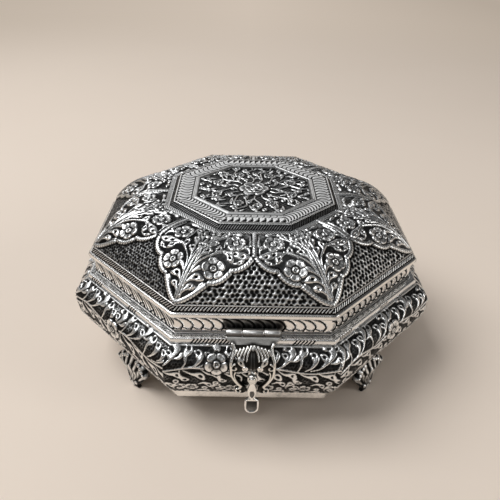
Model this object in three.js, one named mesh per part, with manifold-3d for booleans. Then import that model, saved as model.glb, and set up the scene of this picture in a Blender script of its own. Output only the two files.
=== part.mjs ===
import * as THREE from "three";
import { mergeVertices } from "three/addons/utils/BufferGeometryUtils.js";
import Module from "manifold-3d";

// Plan of the box: an octagon, measured at the lip of the lid
const halfLength = 99;
const halfDepth = 90;
const frontHalfSide = 42.5;
const endHalfSide = 33.5;

// Heights, from the table up; the dome's rise makes up the overall height
const overallHeight = 107.8;
const bandBottom = 17;
const bandHeight = 7.5;
const wallHeight = 35.1;
const rimHeight = 4.4;
const skirtHeight = 11.5;
const lipHeight = 3.2;
const ledgeHeight = 1.2;
const topFrameHeight = 3.9;
const innerBorderHeight = 4.2;
const medallionHeight = 2.9;
const bandTop = bandBottom + bandHeight;
const wallTop = bandTop + wallHeight;
const seamHeight = wallTop + rimHeight;
const skirtTop = seamHeight + skirtHeight;
const lipTop = skirtTop + lipHeight;
const crownHeight = overallHeight - innerBorderHeight;
const domeRise = crownHeight - lipTop;

// How far each ring stands out from the lip's octagon, or in from it
const bandInset = 1;
const bulgeReach = 10.2;
const wallFootReach = 1;
const wallHeadReach = 1.5;
const rimReach = 2;
const skirtInset = 2.5;
const borderInset = 1.4;
const shellThickness = 1.8;
const bandThickness = 2.6;
const floorThickness = 1.6;
const linerThickness = 1.2;
const linerClearance = 0.8;
const linerUpstand = 3;
const bulgeHeight = 23.5;
const bulgeFlat = 6.4;
const bulgePower = 1.7;
const beadRound = 1.2;

// The raised top: a small octagon and the rings around it
const medallionHalfLength = 34.4;
const medallionHalfDepth = 32;
const medallionFrontHalfSide = 14.4;
const medallionEndHalfSide = 13.5;
const innerBorderWidth = 2.4;
const topBandReach = 13.5;
const bevelReach = 16.2;
const ledgeReach = 19.4;
const crownReach = 19.1;
const bevelFoot = 1.2;
const rosetteRadius = 6.5;
const rosetteHeight = 1.3;

// The dome's panels and the petals raised on their corners. A petal's outline gives the share of
// the half side that it covers at each share of the dome's rows.
const domeBendPower = 2.48;
const borderShare = 0.06;
const petalLift = 0.6;
const petalRimLift = 1.2;
const petalRimWidth = 2.3;
const petalOutlineShares = [
  [0, 0.05],
  [0.08, 0.2],
  [0.149, 0.31],
  [0.186, 0.38],
  [0.209, 0.5],
  [0.278, 0.6],
  [0.324, 0.66],
  [0.36, 0.78],
  [0.42, 0.89],
  [0.5, 0.94],
  [0.62, 0.94],
  [0.75, 0.94],
  [0.88, 0.94],
  [1, 0.94],
];
const liningRowShares = [0.25, 0.5, 0.75, 1];

// The main flowers, leaves and stems that stand up from the dome and the wall
const reliefSunk = 1;
const domeReliefProud = 0.7;
const wallReliefProud = 0.5;
const flowerPetals = 5;
const flowerNotchShare = 0.62;
const petalTurnShares = [0, 0.33, 0.67];
const flowerPlaceShares = [
  [0.4, 0.35],
  [0.63, 0.73],
];
const flowerRadii = [6.4, 5.2];
const stemWidth = 1.8;
const ridgeStemShares = [0.1, 0.32, 0.55, 0.8];
const branchPlaceShares = [
  [0.05, 0.2],
  [0.13, 0.38],
  [0.28, 0.54],
  [0.46, 0.66],
];
const leafOutlineShares = [
  [-0.5, 0],
  [-0.25, -0.5],
  [0.17, -0.5],
  [0.5, 0],
  [0.17, 0.5],
  [-0.25, 0.5],
];
const domeLeafLength = 8.5;
const domeLeafWidth = 4;
const domeLeafPlaceShares = [
  [0.6, 0.52],
  [0.14, 0.28],
  [0.16, 0.58],
];
const domeLeafLeanShares = [0.5, 0.35, 0.3];
const wallFlowerRadius = 6;
const wallFlowerHeight = 22.2;
const wallLeafLength = 6.6;
const wallLeafWidth = 4.4;
const wallLeafPitch = 12.2;
const wallLeafLeanShare = 0.17;
const upperLeafHeight = 27.8;
const lowerLeafHeight = 17.4;

// Dividers that cross in the liner
const dividerThickness = 1.2;
const dividerHeight = 38;
const dividerClearance = 0.3;

// Feet, cast as shells
const footHalfWidth = 15;
const footWaistHalfWidth = 9.5;
const footToeHalfWidth = 4.6;
const footBelly = 6.6;
const footToeReach = 5.4;
const footHeelReach = 2.4;
const footRootDepth = 9;
const footLip = 2.6;
const footGap = 0.3;
const toeHeight = 2.6;
const footPoints = 8;

// Hinges at the back
const hingeSpacing = 27;
const hingeHalfWidth = 11;
const hingeReach = 5;
const hingeRadius = 2.4;
const hingePinRadius = 1.1;
const hingeLeafThickness = 1.4;
const hingeLeafRise = 9.4;
const hingeLeafDrop = 12;
const rivetRadius = 1.3;
const rivetHeight = 0.7;
const rivetSpacing = 6.2;

// Hasp on the lid's front
const haspHalfWidth = 14;
const haspRadius = 2.5;
const haspPinRadius = 1.1;
const haspAxisHeight = 3;
const haspKnuckleHalfWidth = 5.5;
const haspLeafThickness = 1.2;
const haspLeafRise = 3.6;
const haspThickness = 1.6;
const haspGap = 0.7;
const haspBend = 9;
const haspTipHeight = 18.2;
const haspTipHalfWidth = 7.4;
const haspNeckHalfWidth = 5.6;
const haspNeckRise = 3.2;
const haspBellyHalfWidth = 10.8;
const haspLobeHalfWidth = 12.2;
const haspWaistHalfWidth = 10.7;
const haspSlotHalfWidth = 3.4;
const haspSlotTop = 34.6;
const bossRadius = 1.7;
const bossHeight = 0.8;
const bossSpacing = 3.9;

// Post on the base and the peg that turns on it
const pegAxisHeight = 30.6;
const postRadius = 1.4;
const postFlangeRadius = 2.3;
const postFlangeHeight = 0.5;
const postHeadRadius = 2.2;
const postHeadHeight = 0.8;
const pegEyeRadius = 2.7;
const pegHalfWidth = 2.1;
const pegThickness = 2;
const pegBarLength = 14.6;
const tabHalfWidth = 3.8;
const tabLength = 10.4;

// Clearances and counts
const runningClearance = 0.3;
const pinRound = 24;
const overrun = 5;
const weld = 1e-5;

const wasm = await Module();
wasm.setup();

// Octagons

const lipPlan = { length: halfLength, depth: halfDepth, front: frontHalfSide, end: endHalfSide };
const medallionPlan = {
  length: medallionHalfLength,
  depth: medallionHalfDepth,
  front: medallionFrontHalfSide,
  end: medallionEndHalfSide,
};

// The octagon whose sides all lie farther out by the same distance
function grown(plan, distance) {
  const turn = Math.atan2(plan.depth - plan.end, plan.length - plan.front);
  return {
    length: plan.length + distance,
    depth: plan.depth + distance,
    front: plan.front + distance * Math.tan(turn / 2),
    end: plan.end + distance * Math.tan((Math.PI / 2 - turn) / 2),
  };
}

function blended(from, to, share) {
  return {
    length: THREE.MathUtils.lerp(from.length, to.length, share),
    depth: THREE.MathUtils.lerp(from.depth, to.depth, share),
    front: THREE.MathUtils.lerp(from.front, to.front, share),
    end: THREE.MathUtils.lerp(from.end, to.end, share),
  };
}

function corners(plan) {
  return [
    new THREE.Vector2(-plan.front, -plan.depth),
    new THREE.Vector2(plan.front, -plan.depth),
    new THREE.Vector2(plan.length, -plan.end),
    new THREE.Vector2(plan.length, plan.end),
    new THREE.Vector2(plan.front, plan.depth),
    new THREE.Vector2(-plan.front, plan.depth),
    new THREE.Vector2(-plan.length, plan.end),
    new THREE.Vector2(-plan.length, -plan.end),
  ];
}

function ring(plan, height) {
  return corners(plan).map((corner) => new THREE.Vector3(corner.x, corner.y, height));
}

function lipRing(distance, height) {
  return ring(grown(lipPlan, distance), height);
}

function topRing(distance, height) {
  return ring(grown(medallionPlan, distance), height);
}

function axisRing(count, height) {
  return Array.from({ length: count }, () => new THREE.Vector3(0, 0, height));
}

const planSides = corners(lipPlan).length;

// Solids

// A lathe with one segment per ring point, its points then moved onto the rings
function loft(rings) {
  const sides = rings[0].length;
  const profile = rings.map((points) => new THREE.Vector2(halfLength, points[0].z));
  const geometry = new THREE.LatheGeometry(profile, sides);
  const position = geometry.getAttribute("position");
  for (let side = 0; side <= sides; side += 1) {
    for (let row = 0; row < rings.length; row += 1) {
      const point = rings[row][side % sides];
      position.setXYZ(side * rings.length + row, point.x, point.y, point.z);
    }
  }
  geometry.computeVertexNormals();
  return geometry;
}

function closedLoft(rings) {
  return loft([...rings, rings[0]]);
}

function solid(geometry) {
  const bare = geometry.clone();
  bare.deleteAttribute("normal");
  bare.deleteAttribute("uv");
  const merged = mergeVertices(bare, weld);
  return new wasm.Manifold(
    new wasm.Mesh({
      numProp: 3,
      vertProperties: new Float32Array(merged.getAttribute("position").array),
      triVerts: new Uint32Array(merged.getIndex().array),
    }),
  );
}

function geometryOf(manifold) {
  const mesh = manifold.getMesh();
  const geometry = new THREE.BufferGeometry();
  geometry.setAttribute("position", new THREE.BufferAttribute(mesh.vertProperties, 3));
  geometry.setIndex(new THREE.BufferAttribute(mesh.triVerts, 1));
  geometry.computeVertexNormals();
  return geometry;
}

function extruded(points, depth, matrix) {
  const geometry = new THREE.ExtrudeGeometry(new THREE.Shape(points), {
    depth,
    bevelEnabled: false,
    steps: 1,
  });
  return geometry.applyMatrix4(matrix);
}

// Extrudes an outline given in Y and Z along X
function alongX(points, from, to) {
  const matrix = new THREE.Matrix4().makeBasis(
    new THREE.Vector3(0, 1, 0),
    new THREE.Vector3(0, 0, 1),
    new THREE.Vector3(1, 0, 0),
  );
  matrix.setPosition(from, 0, 0);
  return extruded(points, to - from, matrix);
}

// Extrudes an outline given in X and Z along Y
function alongY(points, from, to) {
  const matrix = new THREE.Matrix4().makeBasis(
    new THREE.Vector3(1, 0, 0),
    new THREE.Vector3(0, 0, 1),
    new THREE.Vector3(0, -1, 0),
  );
  matrix.setPosition(0, to, 0);
  return extruded(points, to - from, matrix);
}

function upright(points, from, to) {
  return extruded(points, to - from, new THREE.Matrix4().makeTranslation(0, 0, from));
}

function circle(centreX, centreY, radius, count) {
  return Array.from({ length: count }, (_, index) => {
    const angle = (index / count) * 2 * Math.PI;
    return new THREE.Vector2(centreX + radius * Math.cos(angle), centreY + radius * Math.sin(angle));
  });
}

function outline(pairs) {
  return pairs.map(([first, second]) => new THREE.Vector2(first, second));
}

function mirrored(points) {
  const left = points.map((point) => new THREE.Vector2(-point.x, point.y)).reverse();
  return [...points, ...left];
}

// A solid of revolution about Y that grows towards the front from its flat back
function button(pairs, segments) {
  const geometry = new THREE.LatheGeometry(outline(pairs), segments);
  return geometry.rotateX(Math.PI);
}

// Relief: flat-topped pieces sunk into the sheet that they stand on

function flowerOutline(radius) {
  const points = [];
  const step = (2 * Math.PI) / flowerPetals;
  for (let petal = 0; petal < flowerPetals; petal += 1) {
    for (const share of petalTurnShares) {
      const angle = (petal + share) * step;
      const reach = share === 0 ? flowerNotchShare * radius : radius;
      points.push(new THREE.Vector2(reach * Math.cos(angle), reach * Math.sin(angle)));
    }
  }
  return points;
}

// A leaf centred on its place, pointing at an angle from the sheet's across direction
function leafOutline(length, width, turn) {
  const middle = new THREE.Vector2();
  return leafOutlineShares.map(([along, off]) => {
    return new THREE.Vector2(along * length, off * width).rotateAround(middle, turn);
  });
}

// A frame on a sheet: across it, up it and out of it, at a place between two rings
function sheetFrame(lower, upper, side, place) {
  const next = (side + 1) % planSides;
  const foot = lower[side].clone().lerp(lower[next], place);
  const head = upper[side].clone().lerp(upper[next], place);
  const across = lower[next].clone().sub(lower[side]).normalize();
  const out = across.clone().cross(head.clone().sub(foot)).normalize();
  const up = out.clone().cross(across);
  return new THREE.Matrix4().makeBasis(across, up, out).setPosition(foot.lerp(head, 1 / 2));
}

function reliefPiece(points, frame, proud) {
  const matrix = frame.clone().multiply(new THREE.Matrix4().makeTranslation(0, 0, -reliefSunk));
  return solid(extruded(points, reliefSunk + proud, matrix));
}

// A straight stem from one place on a sheet to another, square to the mean of their normals
function stemBetween(from, to, width, proud) {
  const start = new THREE.Vector3().setFromMatrixPosition(from);
  const end = new THREE.Vector3().setFromMatrixPosition(to);
  const normals = [from, to].map((frame) => new THREE.Vector3().setFromMatrixColumn(frame, 2));
  const along = end.clone().sub(start);
  const length = along.length();
  along.normalize();
  const off = normals[0].add(normals[1]).cross(along).normalize();
  const out = along.clone().cross(off);
  const frame = new THREE.Matrix4().makeBasis(along, off, out).setPosition(start);
  const points = outline([
    [0, -width / 2],
    [length, -width / 2],
    [length, width / 2],
    [0, width / 2],
  ]);
  return reliefPiece(points, frame, proud);
}

// Materials

function metal(color, roughness) {
  return new THREE.MeshStandardMaterial({ color, roughness, metalness: 1 });
}

const silver = () => metal("#c9c4bb", 0.34);
const brightSilver = () => metal("#ded8cd", 0.2);
const darkSilver = () => metal("#8f8b84", 0.42);
const linerSteel = () => metal("#b9b6b0", 0.3);

const box = new THREE.Group();
box.name = "dry_fruit_box";
const base = new THREE.Group();
base.name = "base";
const lid = new THREE.Group();
lid.name = "lid";
const hasp = new THREE.Group();
hasp.name = "hasp";
const peg = new THREE.Group();
peg.name = "peg";
lid.add(hasp);
base.add(peg);
box.add(base, lid);

function place(group, name, geometry, material) {
  const mesh = new THREE.Mesh(geometry, material);
  mesh.name = name;
  group.add(mesh);
  return mesh;
}

// Base: floor, band, bulging wall, rim and liner

function baseFloor() {
  const plan = grown(lipPlan, -bandInset - bandThickness);
  return upright(corners(plan), bandBottom, bandBottom + floorThickness);
}

function baseBand() {
  return closedLoft([
    lipRing(-bandInset, bandBottom),
    lipRing(-bandInset, bandTop),
    lipRing(-bandInset - bandThickness, bandTop),
    lipRing(-bandInset - bandThickness, bandBottom),
  ]);
}

// A frame on one panel of the wall, at a place from one corner to the next and a height
function wallFrame(side, place, height) {
  const step = bulgeFlat / 4;
  const [lower, upper] = [height - step, height + step].map((level) => {
    return lipRing(wallReach(level), bandTop + level);
  });
  return sheetFrame(lower, upper, side, place);
}

// How far the wall stands out at a height above its foot
function wallReach(height) {
  const low = bulgeHeight - bulgeFlat / 2;
  const high = bulgeHeight + bulgeFlat / 2;
  if (height <= low) {
    const below = (low - height) / low;
    return bulgeReach - (bulgeReach - wallFootReach) * Math.pow(below, bulgePower);
  }
  if (height >= high) {
    const above = (height - high) / (wallHeight - high);
    return bulgeReach - (bulgeReach - wallHeadReach) * Math.pow(above, bulgePower);
  }
  return bulgeReach;
}

function wallHeights() {
  const low = bulgeHeight - bulgeFlat / 2;
  const high = bulgeHeight + bulgeFlat / 2;
  const lowerShares = [0, 0.2, 0.42, 0.65, 0.84];
  const upperShares = [0, 0.3, 0.58, 0.82, 1];
  const lower = lowerShares.map((share) => share * low);
  const upper = upperShares.map((share) => high + share * (wallHeight - high));
  return [...lower, low, ...upper];
}

function wallSheet() {
  const heights = wallHeights();
  const outside = heights.map((height) => lipRing(wallReach(height), bandTop + height));
  const inside = heights.map((height) => {
    return lipRing(wallReach(height) - shellThickness, bandTop + height);
  });
  return closedLoft([...outside, ...inside.reverse()]);
}

// The wall with a five-petalled flower on each panel and leaves along its vine. The leaves of the
// upper row are left out at the back, where the hinges lie.
function baseWall() {
  let wall = solid(wallSheet());
  const plan = corners(lipPlan);
  for (let side = 0; side < planSides; side += 1) {
    const long = plan[side].distanceTo(plan[(side + 1) % planSides]);
    const rows = side === planSides / 2 ? [lowerLeafHeight] : [lowerLeafHeight, upperLeafHeight];
    const behindHasp = side === 0 ? haspLobeHalfWidth + wallLeafWidth : wallFlowerRadius;
    for (let place = -long / 2 + wallLeafPitch / 2; place < long / 2; place += wallLeafPitch) {
      if (Math.abs(place) < behindHasp) {
        continue;
      }
      for (const height of rows) {
        const upward = height === upperLeafHeight ? 1 : -1;
        const lean = wallLeafLeanShare * (place < 0 ? 1 : -1);
        const turn = upward * (1 / 2 - lean) * Math.PI;
        const frame = wallFrame(side, 1 / 2 + place / long, height);
        const leaf = reliefPiece(leafOutline(wallLeafLength, wallLeafWidth, turn), frame, wallReliefProud);
        wall = wall.add(leaf);
      }
    }
    if (side !== 0) {
      const flower = flowerOutline(wallFlowerRadius);
      wall = wall.add(reliefPiece(flower, wallFrame(side, 1 / 2, wallFlowerHeight), wallReliefProud));
    }
  }
  return wall;
}

function baseRim() {
  const inner = -skirtInset - shellThickness;
  return closedLoft([
    lipRing(inner, wallTop),
    lipRing(rimReach - beadRound, wallTop),
    lipRing(rimReach, wallTop + beadRound),
    lipRing(rimReach, seamHeight - beadRound),
    lipRing(rimReach - beadRound, seamHeight),
    lipRing(inner, seamHeight),
  ]);
}

const linerOutset = -skirtInset - shellThickness - linerClearance;
const linerFloor = bandBottom + floorThickness;
const dividerFoot = linerFloor + linerThickness;

function baseLiner() {
  return loft([
    axisRing(planSides, linerFloor),
    lipRing(linerOutset, linerFloor),
    lipRing(linerOutset, seamHeight + linerUpstand),
    lipRing(linerOutset - linerThickness, seamHeight + linerUpstand),
    lipRing(linerOutset - linerThickness, dividerFoot),
    axisRing(planSides, dividerFoot),
  ]);
}

// The two dividers are halved where they cross: the slot of one faces down, of the other up
function divider(halfSpan, slotFaces) {
  const top = dividerFoot + dividerHeight;
  const middle = (dividerFoot + top) / 2;
  const slot = dividerThickness / 2 + dividerClearance;
  const span = halfSpan - dividerClearance;
  if (slotFaces === "down") {
    const edge = middle + dividerClearance;
    return outline([
      [-span, dividerFoot],
      [-slot, dividerFoot],
      [-slot, edge],
      [slot, edge],
      [slot, dividerFoot],
      [span, dividerFoot],
      [span, top],
      [-span, top],
    ]);
  }
  return outline([
    [-span, dividerFoot],
    [span, dividerFoot],
    [span, top],
    [slot, top],
    [slot, middle],
    [-slot, middle],
    [-slot, top],
    [-span, top],
  ]);
}

place(base, "base_floor", baseFloor(), darkSilver());
place(base, "base_band", baseBand(), brightSilver());
place(base, "base_wall", geometryOf(baseWall()), silver());
place(base, "base_rim", baseRim(), brightSilver());
place(base, "base_liner", baseLiner(), linerSteel());
const linerInside = grown(lipPlan, linerOutset - linerThickness);
const longDivider = divider(linerInside.length, "up");
const crossDivider = divider(linerInside.depth, "down");
place(base, "divider_long", alongY(longDivider, -dividerThickness / 2, dividerThickness / 2), linerSteel());
place(base, "divider_cross", alongX(crossDivider, -dividerThickness / 2, dividerThickness / 2), linerSteel());

// Feet: a shell seen from the front, cut to the curve seen from the side

function footGeometry() {
  const top = bandTop - footGap;
  const crown = [];
  for (let index = 0; index <= footPoints; index += 1) {
    const angle = (index / footPoints) * (Math.PI / 2);
    const rise = (top - bandBottom) * Math.sin(angle);
    crown.push([footHalfWidth * Math.cos(angle), bandBottom + rise]);
  }
  const right = outline([
    [footToeHalfWidth, 0],
    [footToeHalfWidth, toeHeight],
    [footWaistHalfWidth, (toeHeight + bandBottom) / 2],
    ...crown.slice(0, footPoints),
  ]);
  const crest = outline([crown[footPoints]]);
  const left = right.map((point) => new THREE.Vector2(-point.x, point.y)).reverse();
  const front = alongY([...right, ...crest, ...left], -footBelly - overrun, footRootDepth + overrun);
  const waistHeight = (toeHeight + bandBottom) / 2;
  const side = alongX(
    outline([
      [-footToeReach, 0],
      [footHeelReach, 0],
      [footHeelReach, toeHeight],
      [footRootDepth, bandBottom - toeHeight],
      [footRootDepth, bandBottom],
      [-footGap, bandBottom],
      [-footGap, top],
      [-footLip, top],
      [-footBelly, bandBottom],
      [-(footBelly + footLip) / 2, waistHeight],
      [-footToeReach, toeHeight],
    ]),
    -footHalfWidth - overrun,
    footHalfWidth + overrun,
  );
  return geometryOf(solid(front).intersect(solid(side)));
}

function foot(name, signX, signY) {
  const plan = grown(lipPlan, -bandInset);
  const slope = Math.atan2(plan.depth - plan.end, plan.length - plan.front);
  const group = new THREE.Group();
  group.name = `${name}_place`;
  group.position.set(
    (signX * (plan.length + plan.front)) / 2,
    (signY * (plan.depth + plan.end)) / 2,
    0,
  );
  const normalX = signX * Math.sin(slope);
  const normalY = signY * Math.cos(slope);
  group.rotation.z = Math.atan2(normalX, -normalY);
  place(group, name, footGeometry(), silver());
  base.add(group);
}

foot("foot_front_left", -1, -1);
foot("foot_front_right", 1, -1);
foot("foot_rear_left", -1, 1);
foot("foot_rear_right", 1, 1);

// Lid: skirt, lip, hatched border, dome and raised top

const crownPlan = grown(medallionPlan, crownReach);
const domePlan = grown(lipPlan, -borderInset);

function domePoint(share) {
  return {
    plan: blended(domePlan, crownPlan, share),
    height: lipTop + domeRise * (1 - Math.pow(1 - share, domeBendPower)),
  };
}

// The dome's slope at a share of its run, as the upward part of its outward normal
function domeNormal(share) {
  const rise = domeRise * domeBendPower * Math.pow(1 - share, domeBendPower - 1);
  const run = domePlan.depth - crownPlan.depth;
  const length = Math.hypot(rise, run);
  return { out: rise / length, up: run / length };
}

// A ring at the dome's surface or off it, square to the slope
function domeRing(share, distance) {
  const { plan, height } = domePoint(share);
  const normal = domeNormal(share);
  return ring(grown(plan, distance * normal.out), height + distance * normal.up);
}

function lidSkirt() {
  const inner = -skirtInset - shellThickness;
  return closedLoft([
    lipRing(-skirtInset, seamHeight),
    lipRing(-skirtInset, skirtTop),
    lipRing(inner, skirtTop),
    lipRing(inner, seamHeight),
  ]);
}

function lidLip() {
  const inner = -skirtInset - shellThickness;
  return closedLoft([
    lipRing(inner, skirtTop),
    lipRing(-beadRound, skirtTop),
    lipRing(0, skirtTop + beadRound),
    lipRing(0, lipTop - beadRound),
    lipRing(-borderInset, lipTop),
    lipRing(inner, lipTop),
  ]);
}

function lidBorder() {
  const head = domePoint(borderShare);
  const middle = domePoint(borderShare / 2);
  const under = shellThickness + beadRound;
  return closedLoft([
    ring(domePlan, lipTop),
    ring(middle.plan, middle.height),
    ring(head.plan, head.height),
    ring(grown(head.plan, -under), head.height),
    ring(grown(domePlan, -under), lipTop),
  ]);
}

// A ring with the petals' roped edges as columns of their own
function petalRing(share, coveredShare, lift, rimLift) {
  const ground = domeRing(share, 0);
  const raised = domeRing(share, lift);
  const rim = domeRing(share, rimLift);
  const points = [];
  for (let side = 0; side < ground.length; side += 1) {
    const next = (side + 1) % ground.length;
    const edge = coveredShare / 2;
    const inside = Math.min(petalRimWidth / ground[side].distanceTo(ground[next]), edge / 2);
    const crest = [edge - inside * (2 / 3), edge - inside / 3];
    points.push(raised[side].clone());
    points.push(raised[side].clone().lerp(raised[next], edge - inside));
    points.push(...crest.map((place) => rim[side].clone().lerp(rim[next], place)));
    points.push(ground[side].clone().lerp(ground[next], edge));
    points.push(ground[side].clone().lerp(ground[next], 1 - edge));
    points.push(...crest.reverse().map((place) => rim[side].clone().lerp(rim[next], 1 - place)));
    points.push(raised[side].clone().lerp(raised[next], 1 - edge + inside));
  }
  return points;
}

function domeShare(rowShare) {
  return borderShare + (1 - borderShare) * rowShare;
}

// A frame on a petal, at a share of the half side from its corner and a share of the dome's rows
function petalFrame(side, hand, part, rowShare) {
  const share = domeShare(rowShare);
  const step = reliefSunk / (domePlan.depth - crownPlan.depth);
  const [lower, upper] = [share - step, share + step].map((level) => domeRing(level, petalLift));
  return sheetFrame(lower, upper, side, hand < 0 ? part / 2 : 1 - part / 2);
}

// Flowers, leaves and branching stems on both halves of one petal
function petalRelief(side, hand) {
  const proud = domeReliefProud;
  const pieces = flowerPlaceShares.map(([part, row], index) => {
    return reliefPiece(flowerOutline(flowerRadii[index]), petalFrame(side, hand, part, row), proud);
  });
  domeLeafPlaceShares.forEach(([part, row], index) => {
    const turn = (1 / 2 + hand * domeLeafLeanShares[index] / 2) * Math.PI;
    const leaf = leafOutline(domeLeafLength, domeLeafWidth, turn);
    pieces.push(reliefPiece(leaf, petalFrame(side, hand, part, row), proud));
  });
  const branch = branchPlaceShares.map(([part, row]) => petalFrame(side, hand, part, row));
  branch.slice(1).forEach((frame, index) => {
    pieces.push(stemBetween(branch[index], frame, stemWidth, proud));
  });
  const ridge = ridgeStemShares.map((row) => petalFrame(side, hand, stemWidth / halfDepth, row));
  ridge.slice(1).forEach((frame, index) => {
    pieces.push(stemBetween(ridge[index], frame, stemWidth, proud));
  });
  return pieces;
}

function lidDome() {
  let dome = solid(domeSheet());
  for (let side = 0; side < planSides; side += 1) {
    for (const hand of [-1, 1]) {
      for (const piece of petalRelief(side, hand)) {
        dome = dome.add(piece);
      }
    }
  }
  return dome;
}

function domeSheet() {
  const head = domePoint(borderShare);
  const outside = petalOutlineShares.map(([rowShare, coveredShare], index) => {
    const atEnd = index === 0 || index === petalOutlineShares.length - 1;
    const lifts = atEnd ? [0, 0] : [petalLift, petalRimLift];
    return petalRing(domeShare(rowShare), coveredShare, ...lifts);
  });
  const columns = outside[0].length;
  const inside = liningRowShares.map((rowShare) => {
    return spread(domeRing(domeShare(rowShare), -shellThickness), columns);
  });
  const foot = spread(ring(grown(head.plan, -shellThickness - beadRound), head.height), columns);
  return loft([
    axisRing(columns, crownHeight - shellThickness),
    ...inside.reverse(),
    foot,
    ...outside,
    axisRing(columns, crownHeight),
  ]);
}

// An eight-cornered ring with more points along each side, evenly spaced
function spread(points, columns) {
  const perSide = columns / points.length;
  const all = [];
  for (let side = 0; side < points.length; side += 1) {
    const next = points[(side + 1) % points.length];
    for (let step = 0; step < perSide; step += 1) {
      all.push(points[side].clone().lerp(next, step / perSide));
    }
  }
  return all;
}

function lidLedge() {
  const round = ledgeHeight / 2;
  return closedLoft([
    topRing(bevelReach, crownHeight),
    topRing(ledgeReach - round, crownHeight),
    topRing(ledgeReach, crownHeight + round),
    topRing(ledgeReach - round, crownHeight + ledgeHeight),
    topRing(bevelReach, crownHeight + ledgeHeight),
  ]);
}

function lidTopFrame() {
  return closedLoft([
    topRing(bevelReach, crownHeight),
    topRing(bevelReach, crownHeight + bevelFoot),
    topRing(topBandReach, crownHeight + topFrameHeight),
    topRing(innerBorderWidth, crownHeight + topFrameHeight),
    topRing(innerBorderWidth, crownHeight),
  ]);
}

function lidInnerBorder() {
  const shoulder = innerBorderWidth / 4;
  return closedLoft([
    topRing(innerBorderWidth, crownHeight),
    topRing(innerBorderWidth, crownHeight + topFrameHeight),
    topRing(innerBorderWidth - shoulder, crownHeight + innerBorderHeight),
    topRing(shoulder, crownHeight + innerBorderHeight),
    topRing(0, crownHeight + topFrameHeight),
    topRing(0, crownHeight),
  ]);
}

function lidRosette() {
  const foot = crownHeight + medallionHeight;
  const profile = outline([
    [0, foot],
    [rosetteRadius, foot],
    [rosetteRadius, foot + rosetteHeight / 3],
    [rosetteRadius / 2, foot + rosetteHeight],
    [0, foot + rosetteHeight],
  ]);
  return new THREE.LatheGeometry(profile, pinRound).rotateX(Math.PI / 2);
}

place(lid, "lid_skirt", lidSkirt(), silver());
place(lid, "lid_lip", lidLip(), brightSilver());
place(lid, "lid_border", lidBorder(), darkSilver());
place(lid, "lid_dome", geometryOf(lidDome()), silver());
place(lid, "lid_ledge", lidLedge(), brightSilver());
place(lid, "lid_top_frame", lidTopFrame(), brightSilver());
place(lid, "lid_inner_border", lidInnerBorder(), brightSilver());
const medallion = upright(corners(medallionPlan), crownHeight, crownHeight + medallionHeight);
place(lid, "lid_medallion", medallion, darkSilver());
place(lid, "lid_rosette", lidRosette(), silver());

// Hinges and hasp: leaves with knuckles on a shared axis

function inYZ(pairs, side) {
  const points = pairs.map(([reach, height]) => {
    return new THREE.Vector2(side * (halfDepth + reach), height);
  });
  return side < 0 ? points.reverse() : points;
}

// A bent plate with knuckles: the plate is cut clear of the other leaf's knuckles
function leafWithKnuckles({ plate, axis, radius, bore, own, others }) {
  let leaf = plate;
  for (const [from, to] of others) {
    const around = circle(axis.y, axis.z, radius + runningClearance, pinRound);
    leaf = leaf.subtract(solid(alongX(around, from - runningClearance, to + runningClearance)));
  }
  for (const [from, to] of own) {
    leaf = leaf.add(solid(alongX(circle(axis.y, axis.z, radius, pinRound), from, to)));
  }
  const ends = [...own, ...others].flat();
  const hole = circle(axis.y, axis.z, bore, pinRound);
  const from = Math.min(...ends) - overrun;
  const to = Math.max(...ends) + overrun;
  return leaf.subtract(solid(alongX(hole, from, to)));
}

const hingeAxis = { y: halfDepth + hingeReach, z: seamHeight };

function hingeKnuckles(centre) {
  const third = (2 * hingeHalfWidth) / 3;
  const start = centre - hingeHalfWidth;
  const gap = runningClearance;
  return {
    outer: [
      [start, start + third - gap],
      [start + 2 * third + gap, start + 3 * third],
    ],
    middle: [[start + third + gap, start + 2 * third - gap]],
  };
}

// The base leaf lies on the slope of the wall's shoulder
function hingeBaseLeaf(centre) {
  const foot = seamHeight - hingeLeafDrop;
  const onWall = wallHeights()
    .map((height) => [wallReach(height), bandTop + height])
    .filter(([, height]) => height > foot && height < wallTop)
    .reverse();
  const thick = hingeLeafThickness;
  const lowest = onWall[onWall.length - 1];
  const upper = onWall[0];
  const profile = [
    [hingeReach - thick / 2, seamHeight - hingeRadius / 2],
    [hingeReach + thick, seamHeight - hingeRadius / 2],
    [upper[0] + 2 * thick, upper[1] + thick],
    [lowest[0] + thick, lowest[1] + thick],
    [lowest[0] + thick, lowest[1]],
    ...onWall.slice().reverse(),
  ];
  const bent = inYZ(dropRepeats(profile), 1);
  const plate = solid(alongX(bent, centre - hingeHalfWidth, centre + hingeHalfWidth));
  const knuckles = hingeKnuckles(centre);
  return leafWithKnuckles({
    plate,
    axis: hingeAxis,
    radius: hingeRadius,
    bore: hingePinRadius,
    own: knuckles.outer,
    others: knuckles.middle,
  });
}

function dropRepeats(pairs) {
  return pairs.filter(([first, second], index) => {
    const before = pairs[(index + pairs.length - 1) % pairs.length];
    return Math.hypot(first - before[0], second - before[1]) > weld;
  });
}

// The lid leaf crosses above the rim and stands against the skirt
function hingeLidLeaf(centre) {
  const thick = hingeLeafThickness;
  const under = seamHeight + runningClearance;
  const profile = [
    [hingeReach, under],
    [hingeReach, under + thick],
    [thick - skirtInset, under + thick],
    [thick - skirtInset, seamHeight + hingeLeafRise],
    [-skirtInset, seamHeight + hingeLeafRise],
    [-skirtInset, under],
  ];
  const plate = solid(alongX(inYZ(profile, 1), centre - hingeHalfWidth, centre + hingeHalfWidth));
  const knuckles = hingeKnuckles(centre);
  return leafWithKnuckles({
    plate,
    axis: hingeAxis,
    radius: hingeRadius,
    bore: hingePinRadius + runningClearance,
    own: knuckles.middle,
    others: knuckles.outer,
  });
}

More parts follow.
